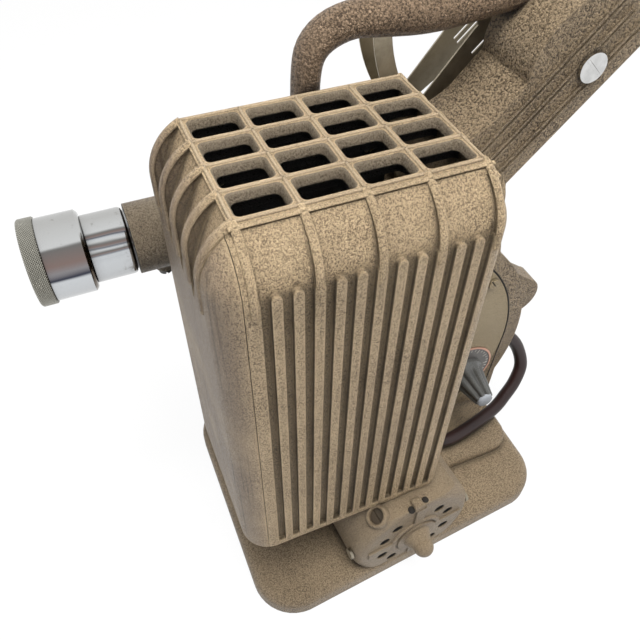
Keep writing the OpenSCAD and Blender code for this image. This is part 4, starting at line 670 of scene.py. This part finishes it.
def turned(profile, segments, place, axis, flute=None):
    """A closed profile of (along, radius) points turned about an axis: its vertices and faces.

    flute(angle, along, radius) gives the radius at one angle, where the form isn't round.
    """
    verts = []
    for k in range(segments):
        angle = 2 * math.pi * k / segments
        for along, radius in profile:
            r = flute(angle, along, radius) if flute else radius
            across = (r * math.cos(angle), r * math.sin(angle))
            point = (along, *across) if axis == "X" else (across[0], along, across[1])
            verts.append(Vector(place) + Vector(point))
    faces = quads(segments, len(profile), closed=True)
    if axis == "X":
        faces = [face[::-1] for face in faces]
    return verts, faces


BEAD_PROFILE = [(-0.5, -0.6), (-0.5, 0.0), (-0.36, 0.6), (-0.16, 0.94), (0.16, 0.94), (0.36, 0.6),
                (0.5, 0.0), (0.5, -0.6)]


def bead(path, width, height):
    """A half-round bead along a path of (place, outward, aside), sunk a little at its edges."""
    verts = []
    for place, outward, aside in path:
        for across, up in BEAD_PROFILE:
            verts.append(Vector(place) + Vector(aside) * across * width
                         + Vector(outward) * up * height)
    size = len(BEAD_PROFILE)
    faces = turned_over(quads(len(path), size, closed=False))
    faces.append(tuple(range(size)))
    faces.append(tuple(reversed(range(len(verts) - size, len(verts)))))
    return verts, faces


# The lamp house

HOUSE_TOP = 0.3
SIDE_X = 0.063
REAR_Y = 0.013
EDGE_R = 0.025
BARS = 5
PITCH_X = 0.0172
PITCH_Y = 0.025
BAR_W = 0.003
BAR_X = [-0.0248 + i * PITCH_X for i in range(BARS)]
BAR_Y = [-0.095 + j * PITCH_Y for j in range(BARS)]
GRID_X1 = 0.044
GRID_Y0 = BAR_Y[0]
GRID_Y1 = 0.005

# Each layer of a slot's walls: its drop from the top, its inset and its corners' radius
SLOT_LAYERS = [(0.0001, 0.0, 0.0024), (0.0004, 0.0004, 0.0024), (0.0010, 0.0007, 0.0026),
               (0.0036, 0.0014, 0.003), (0.0042, 0.0014, 0.003), (0.0048, 0.0, 0.0024)]

# Widths and heights of the beads
CREST = (0.0015, 0.0005)
LIP = (0.0024, 0.0006)
SIDE_BEAD = (0.0034, 0.0009)
END_BEAD = (0.0042, 0.0011)
SIDE_BEAD_LOW = 0.27
END_BEAD_LOW = 0.262
LIP_X = 0.0466
LIP_Z = 0.2994
LIP_OVERRUN = 0.0025
LIP_OUTWARD = (0.15, 0, 1)


def slot_outline(x0, y0, x1, y1, radius, steps=5):
    """The corners of a rounded rectangle, each drawn as an arc, in order round it."""
    points = []
    for cx, cy, start in ((x1, y1, 0), (x0, y1, 90), (x0, y0, 180), (x1, y0, 270)):
        inward_x = -radius if cx == x1 else radius
        inward_y = -radius if cy == y1 else radius
        for k in range(steps + 1):
            angle = math.radians(start + 90 * k / steps)
            points.append((cx + inward_x + radius * math.cos(angle),
                           cy + inward_y + radius * math.sin(angle)))
    return points


def slot_wall(x0, y0):
    """The sloping walls of the slot whose bars end at x0 and y0."""
    x1 = x0 + PITCH_X - BAR_W
    y1 = y0 + PITCH_Y - BAR_W
    verts = []
    for drop, inset, radius in SLOT_LAYERS:
        outline = slot_outline(x0 + inset, y0 + inset, x1 - inset, y1 - inset, radius)
        verts += [(x, y, HOUSE_TOP - drop) for x, y in outline]
    rings = len(SLOT_LAYERS)
    return verts, turned_over(quads(rings, len(verts) // rings, closed=True))


def make_slot_walls():
    """The sloping walls that the casting's draft gives each slot of the grid."""
    verts, faces = gathered(slot_wall(x + BAR_W / 2, y + BAR_W / 2)
                            for x in BAR_X[:-1] for y in BAR_Y[:-1])
    make_piece("slot_walls", verts, faces, "machine", "grid_wall")


def shoulder_path(grid, face, low, steps=14):
    """A way from the grid's edge over the arc of the shoulder and down the face to low.

    Each point of it is (across, up, outward across, outward up).
    """
    bulge = abs(face - grid)
    way = 1 if face > grid else -1
    middle_z = HOUSE_TOP - math.sqrt(EDGE_R ** 2 - (EDGE_R - bulge) ** 2)
    start = math.acos((EDGE_R - bulge) / EDGE_R)
    path = []
    for k in range(steps + 1):
        angle = start * (1 - k / steps)
        path.append((face + way * EDGE_R * (math.cos(angle) - 1),
                     middle_z + EDGE_R * math.sin(angle), way * math.cos(angle), math.sin(angle)))
    path.append((face, low, way, 0))
    return path


def make_edge_beads():
    """The round ribs that run on from the grid's bars over the lamp house's shoulders."""
    beads = []
    for y in BAR_Y:
        path = [((x, y, z), (out_x, 0, out_z), ALONG_Y)
                for x, z, out_x, out_z in shoulder_path(GRID_X1, SIDE_X, SIDE_BEAD_LOW)]
        beads.append(bead(path, *SIDE_BEAD))
    lip = [((LIP_X, y, LIP_Z), LIP_OUTWARD, ALONG_X)
           for y in (GRID_Y0 - LIP_OVERRUN, GRID_Y1 + LIP_OVERRUN)]
    beads.append(bead(lip, *LIP))
    verts, faces = gathered(beads)
    make_piece("side_beads", verts, faces, "side_cover", "bronze_wrinkle")

    beads = []
    for x in BAR_X:
        for grid, face in ((GRID_Y0, FRONT_Y), (GRID_Y1, REAR_Y)):
            path = [((x, y, z), (0, out_y, out_z), ALONG_X)
                    for y, z, out_y, out_z in shoulder_path(grid, face, END_BEAD_LOW)]
            beads.append(bead(path, *END_BEAD))
    verts, faces = gathered(beads)
    make_piece("end_beads", verts, faces, "machine", "bronze_wrinkle")


def make_grid_crests():
    """The narrow rounded crests along the middles of the grid's bars."""
    crests = [bead([((x, y, HOUSE_TOP), UP, ALONG_X) for y in (GRID_Y0, GRID_Y1)], *CREST)
              for x in BAR_X]
    crests += [bead([((x, y, HOUSE_TOP), UP, ALONG_Y) for x in (BAR_X[0], GRID_X1)], *CREST)
               for y in BAR_Y]
    verts, faces = gathered(crests)
    make_piece("grid_crests", verts, faces, "machine", "crest_bronze")


# The motor bell, given as if it stood square

MOTOR = Vector((0, -0.007, 0.0405))
BELL_PIVOT = Vector((0.060, -0.007, 0))
BELL_TURN = math.radians(4.2)
BELL_FACE = Vector((0.074, 0, 0))

ARCH_R = 0.0165
ARCH_W = 0.0042
ARCH_H = 0.0013
ARCH_FROM = 250
ARCH_STEP = 10
ARCH_POINTS = 25
ARCH_OUTWARD = (1, 0.07, 0)

BOSS_X = 0.0712
BOSS_Y = -0.0087
# Each layer of the boss: its height and its half widths along X and Y
BOSS_LAYERS = [(0.0745, 0.0034, 0.0033), (0.0788, 0.0034, 0.0033), (0.0795, 0.0029, 0.0028),
               (0.0799, 0.0023, 0.0022)]

SOCKET_DEPTH = 0.0005
# Each dark socket: its place, the way it faces and its radius
SOCKETS = [((0.0730, -0.0138, 0.0775), (0.35, 0, 1), 0.0022),
           ((0.0712, -0.0030, 0.0777), (0.1, 0, 1), 0.0021),
           ((0.0812, -0.0071, 0.0472), (0.5, -0.15, 1), 0.0011)]

BRUSH_LEAN = math.radians(38)
BRUSH_X = 0.066
BRUSH_REACH = 0.0438
BRUSH_RING = [(-0.002, 0.0046), (-0.002, 0.0072), (0.0004, 0.0069), (0.0011, 0.0063),
              (0.0013, 0.0057), (0.0009, 0.005), (0, 0.0046)]


def on_bell(point):
    """A place given as if the bell stood square, turned with the bell about its upright line."""
    return Matrix.Rotation(BELL_TURN, 3, "Z") @ (Vector(point) - BELL_PIVOT) + BELL_PIVOT


def pointed(verts, place, direction):
    """Vertices built about the X axis at the origin, moved to a place and pointed along a line."""
    turn = Vector(ALONG_X).rotation_difference(Vector(direction))
    return [on_bell(Vector(place) + turn @ v) for v in verts]


def make_bell_arch():
    """The raised arch round the bearing cap."""
    path = []
    for k in range(ARCH_POINTS):
        angle = math.radians(ARCH_FROM - ARCH_STEP * k)
        out = Vector((0, math.cos(angle), math.sin(angle)))
        path.append((on_bell(MOTOR + BELL_FACE + out * ARCH_R), ARCH_OUTWARD, out))
    verts, faces = bead(path, ARCH_W, ARCH_H)
    make_piece("bell_arch", verts, faces, "machine", "bell_bronze")


def make_bell_boss():
    """The square boss on the bell's crown, with eased upper edges."""
    corners = ((-1, -1), (1, -1), (1, 1), (-1, 1))
    verts = [on_bell((BOSS_X + sx * half_x, BOSS_Y + sy * half_y, z))
             for z, half_x, half_y in BOSS_LAYERS for sx, sy in corners]
    faces = quads(len(BOSS_LAYERS), len(corners), closed=False)
    faces += [(3, 2, 1, 0), (12, 13, 14, 15)]
    make_piece("bell_boss", verts, faces, "machine", "bell_bronze")


def button(radius):
    """A flat, rounded button about the X axis."""
    d = SOCKET_DEPTH
    return turned([(-d, POINT / 2), (-d, radius), (0, radius), (0.5 * d, 0.8 * radius),
                   (0.7 * d, POINT / 2)], 28, (0, 0, 0), "X")


def make_bell_sockets():
    """The sockets beside the boss and in the bearing cap: near-black discs, as painted shade in
    their holes.
    """
    buttons = []
    for place, direction, radius in SOCKETS:
        verts, faces = button(radius)
        buttons.append((pointed(verts, place, direction), faces))
    verts, faces = gathered(buttons)
    # The near-black finish here is painted shade in the holes.
    make_piece("bell_sockets", verts, faces, "machine", "shade_and_grime")


def make_brush_ring():
    """The raised ring round the brush cap."""
    outward = Vector((0, -math.sin(BRUSH_LEAN), math.cos(BRUSH_LEAN)))
    ring, faces = turned(BRUSH_RING, 48, (0, 0, 0), "X")
    place = MOTOR + Vector((BRUSH_X, 0, 0)) + outward * BRUSH_REACH
    make_piece("brush_ring", pointed(ring, place, outward), faces, "machine", "bell_bronze")


# The cover plate's seam

SEAM_Y = -0.003
SEAM_Z = 0.107
SEAM_R = 0.1007
SEAM_W = 0.0012
SEAM_H = 0.0002
SEAM_DEGREES = range(78, -9, -3)
SEAM_TAIL = ((0.0955, 0.062), (0.0945, 0.046))
SEAM_TAIL_ASIDE = (0, 1, -0.05)


def make_cover_seam():
    """The dark, greasy line along the cover plate's edge: round at the top, straight lower down."""
    face_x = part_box("housing_cover")[1][0]
    middle = Vector((face_x, SEAM_Y, SEAM_Z))
    path = []
    for degrees in SEAM_DEGREES:
        angle = math.radians(degrees)
        out = Vector((0, math.cos(angle), math.sin(angle)))
        path.append((middle + out * SEAM_R, ALONG_X, out))
    path += [((face_x, y, z), ALONG_X, SEAM_TAIL_ASIDE) for y, z in SEAM_TAIL]
    verts, faces = bead(path, SEAM_W, SEAM_H)
    make_piece("cover_seam", verts, faces, "machine", "shade_and_grime")


# The lens

RING_WALL = 0.0044
RING_FACE = 0.0018
RING_LIP = 0.0007
FRONT_L = 0.021
FRONT_INNER_R = 0.0163
CHAMFER = 0.0016
NARROW_R = 0.01755
NARROW_INNER_R = 0.0155
NARROW_END = 0.042
NARROW_START_R = 0.0135
CURL = 0.0022
TAIL_R = 0.0133
ROUND = 128


def make_focus_ring():
    """The knurled focus ring, eased at both ends."""
    low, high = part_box("lens_ring")
    length = high[1] - low[1]
    r = (high[0] - low[0]) / 2
    lip = RING_LIP
    profile = [
        (0, r - RING_WALL), (0, r - RING_FACE), (0.3 * lip, r - lip), (lip, r - 0.3 * lip),
        (1.6 * lip, r), (length - 0.6 * lip, r), (length, r - 0.6 * lip), (length, r - RING_WALL),
    ]
    verts, faces = turned(profile, ROUND, (LENS_X, low[1], LENS_Z), "Y")
    make_piece("focus_ring", verts, faces, "lens", "knurl", ["lens_ring"])


def make_barrels():
    """The chrome barrel: a wide front with a chamfer, then a narrow rear with a round shoulder."""
    low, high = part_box("lens_barrel")
    place = (LENS_X, low[1], LENS_Z)
    whole = high[1] - low[1]
    r = (high[0] - low[0]) / 2
    front = [
        (0, FRONT_INNER_R), (0, r - 0.0002), (0.0002, r), (FRONT_L - CHAMFER, r),
        (FRONT_L - 0.3 * CHAMFER, r - 0.75 * CHAMFER), (FRONT_L, r - 1.3 * CHAMFER),
        (FRONT_L, FRONT_INNER_R),
    ]
    verts, faces = turned(front, ROUND, place, "Y")
    make_piece("front_barrel", verts, faces, "lens", "barrel_front", ["lens_barrel"])

    shoulder = []
    for degrees in range(0, 91, 15):
        angle = math.radians(degrees)
        shoulder.append((NARROW_END - CURL * (1 - math.sin(angle)),
                         NARROW_R - 0.8 * CURL * (1 - math.cos(angle))))
    rear = [
        (FRONT_L, NARROW_START_R), (FRONT_L, NARROW_R - 0.0004), (FRONT_L + 0.0005, NARROW_R),
        *shoulder, (NARROW_END, NARROW_INNER_R), (whole, NARROW_INNER_R), (whole, TAIL_R),
    ]
    verts, faces = turned(rear, ROUND, place, "Y")
    make_piece("rear_barrel", verts, faces, "lens", "barrel_rear")


# The dial and its knob

DIAL_Y = 0.070467
DIAL_Z = 0.078504
DIAL_HOLE = 0.0045
DIAL_ROUND = 96
MARKS = 36
LONG_MARK = 0.0034
SHORT_MARK = 0.0018
MARK_EDGE = 0.0026
MARK_OUTER_HALF = 0.00035
MARK_INNER_HALF = 0.0002


def dial_mark(k, at, r, t):
    """One raised mark that narrows inward, every third one long."""
    angle = 2 * math.pi * k / MARKS
    reach = LONG_MARK if k % 3 == 0 else SHORT_MARK
    outward = Vector((0, math.cos(angle), math.sin(angle)))
    aside = Vector((0, -math.sin(angle), math.cos(angle)))
    ends = ((r - MARK_EDGE, MARK_OUTER_HALF), (r - MARK_EDGE - reach, MARK_INNER_HALF))
    verts = [Vector(at) + Vector((rise, 0, 0)) + outward * out + aside * side * half
             for out, half in ends for side in (-1, 1) for rise in (0.5 * t, 0.7 * t)]
    return verts, [(1, 3, 7, 5), (0, 1, 5, 4), (2, 6, 7, 3), (0, 2, 3, 1), (4, 5, 7, 6),
                   (0, 4, 6, 2)]


def make_dial():
    """The dial's plate with its copper rim, and the marks round it."""
    low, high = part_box("dial_plate")
    r = (high[1] - low[1]) / 2
    t = high[0] - low[0]
    at = (low[0], DIAL_Y, DIAL_Z)
    face = [(0, DIAL_HOLE), (0.55 * t, DIAL_HOLE), (0.55 * t, r - 0.0014), (0, r - 0.0012)]
    verts, faces = turned(face, DIAL_ROUND, at, "X")
    make_piece("dial_face", verts, faces, "machine", "dial_grey", ["dial_plate"])
    rim = [(0, r - 0.0016), (0.8 * t, r - 0.0016), (t, r - 0.0012), (t, r - 0.0006),
           (0.7 * t, r - 0.0001), (0, r)]
    verts, faces = turned(rim, DIAL_ROUND, at, "X")
    make_piece("dial_rim", verts, faces, "machine", "copper")
    verts, faces = gathered(dial_mark(k, at, r, t) for k in range(MARKS))
    make_piece("dial_marks", verts, faces, "machine", "marks")


SKIRT_GAP = 0.0003
SKIRT_H = 0.004
STEM_R = 0.003
TIP_R = 0.0065
TIP_L = 0.0022
FLUTES = 8
FLUTE_DEPTH = 0.0019
FLUTE_RUN = 0.003
CONE_STEPS = 12


def knob_flute(angle, along, radius):
    """The knob's radius at one angle, cut in by the flutes above its skirt."""
    if along <= SKIRT_H or radius < TIP_R - 0.001:
        return radius
    depth = FLUTE_DEPTH * min(1.0, (along - SKIRT_H) / FLUTE_RUN)
    return radius - depth * ((1 + math.cos(FLUTES * angle)) / 2) ** 2


def make_knob():
    """The fluted knob, its skirt and its worn grey end."""
    low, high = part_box("control_knob")
    skirt_r = (high[1] - low[1]) / 2
    skirt_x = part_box("dial_plate")[1][0] + SKIRT_GAP
    at = (skirt_x, DIAL_Y, DIAL_Z)
    length = high[0] - skirt_x
    top = length - TIP_L
    stem_end = low[0] - skirt_x
    body = [(stem_end, POINT), (stem_end, STEM_R), (0, STEM_R), (0, skirt_r - 0.0008),
            (0.0006, skirt_r), (SKIRT_H - 0.0008, skirt_r), (SKIRT_H, skirt_r - 0.0008)]
    for i in range(1, CONE_STEPS + 1):
        share = i / CONE_STEPS
        body.append((SKIRT_H + (top - SKIRT_H) * share,
                     (skirt_r - 0.001) * (1 - share) + TIP_R * share))
    body += [(top + 0.0005, TIP_R - 0.0005), (top + 0.0005, POINT)]
    verts, faces = turned(body, ROUND, at, "X", knob_flute)
    make_piece("fluted_knob", verts, faces, "knob", "black_plastic",
               ["control_knob"])
    tip = [(top, POINT), (top, TIP_R - 0.0008), (length - 0.0006, TIP_R - 0.0012),
           (length, TIP_R - 0.002), (length, POINT)]
    verts, faces = turned(tip, ROUND // 2, at, "X")
    make_piece("knob_end", verts, faces, "knob", "grey_tip")


# The lead from the housing to the motor

LEAD_ROUTE = [
    (-0.018, 0.098, 0.084), (-0.018, 0.108, 0.084), (-0.0175, 0.117, 0.080),
    (-0.014, 0.125, 0.068), (-0.008, 0.1275, 0.054), (-0.002, 0.1205, 0.044),
    (0.0025, 0.111, 0.0375), (0.007, 0.099, 0.0315), (0.0127, 0.0757, 0.029),
    (0.016, 0.0555, 0.029), (0.014, 0.042, 0.031), (0.012, 0.033, 0.035),
    (0.012, 0.024, 0.036),
]
LEAD_D = 0.0094
LEAD_STEPS = 8


def smooth_route(points, steps):
    """A spline through the points, as in the part's source."""
    last = len(points) - 1
    route = []
    for i in range(last):
        a, b, c, d = (Vector(points[min(max(k, 0), last)]) for k in (i - 1, i, i + 1, i + 2))
        for k in range(steps):
            t = k / steps
            route.append(0.5 * (2 * b + (c - a) * t + (2 * a - 5 * b + 4 * c - d) * t ** 2
                                + (3 * b - a - 3 * c + d) * t ** 3))
    return route + [Vector(points[-1])]


def make_lead():
    """The rubber lead, as a round curve along its route."""
    route = smooth_route(LEAD_ROUTE, LEAD_STEPS)
    curve = bpy.data.curves.new("motor_cable", "CURVE")
    curve.dimensions = "3D"
    curve.bevel_depth = LEAD_D / 2
    curve.bevel_resolution = 6
    curve.use_fill_caps = True
    spline = curve.splines.new("POLY")
    spline.points.add(len(route) - 1)
    for point, place in zip(spline.points, route):
        point.co = (*place, 1.0)
    spline.use_smooth = True
    cable = link(bpy.data.objects.new("motor_cable", curve))
    paint(cable, "lead_rubber")
    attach(cable, "machine")
    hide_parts("motor_lead")


make_materials()
make_camera()
make_lead()
make_studio()
dress_cad_nodes()
make_slot_walls()
make_edge_beads()
make_grid_crests()
make_bell_arch()
make_bell_boss()
make_bell_sockets()
make_brush_ring()
make_cover_seam()
make_focus_ring()
make_barrels()
make_dial()
make_knob()
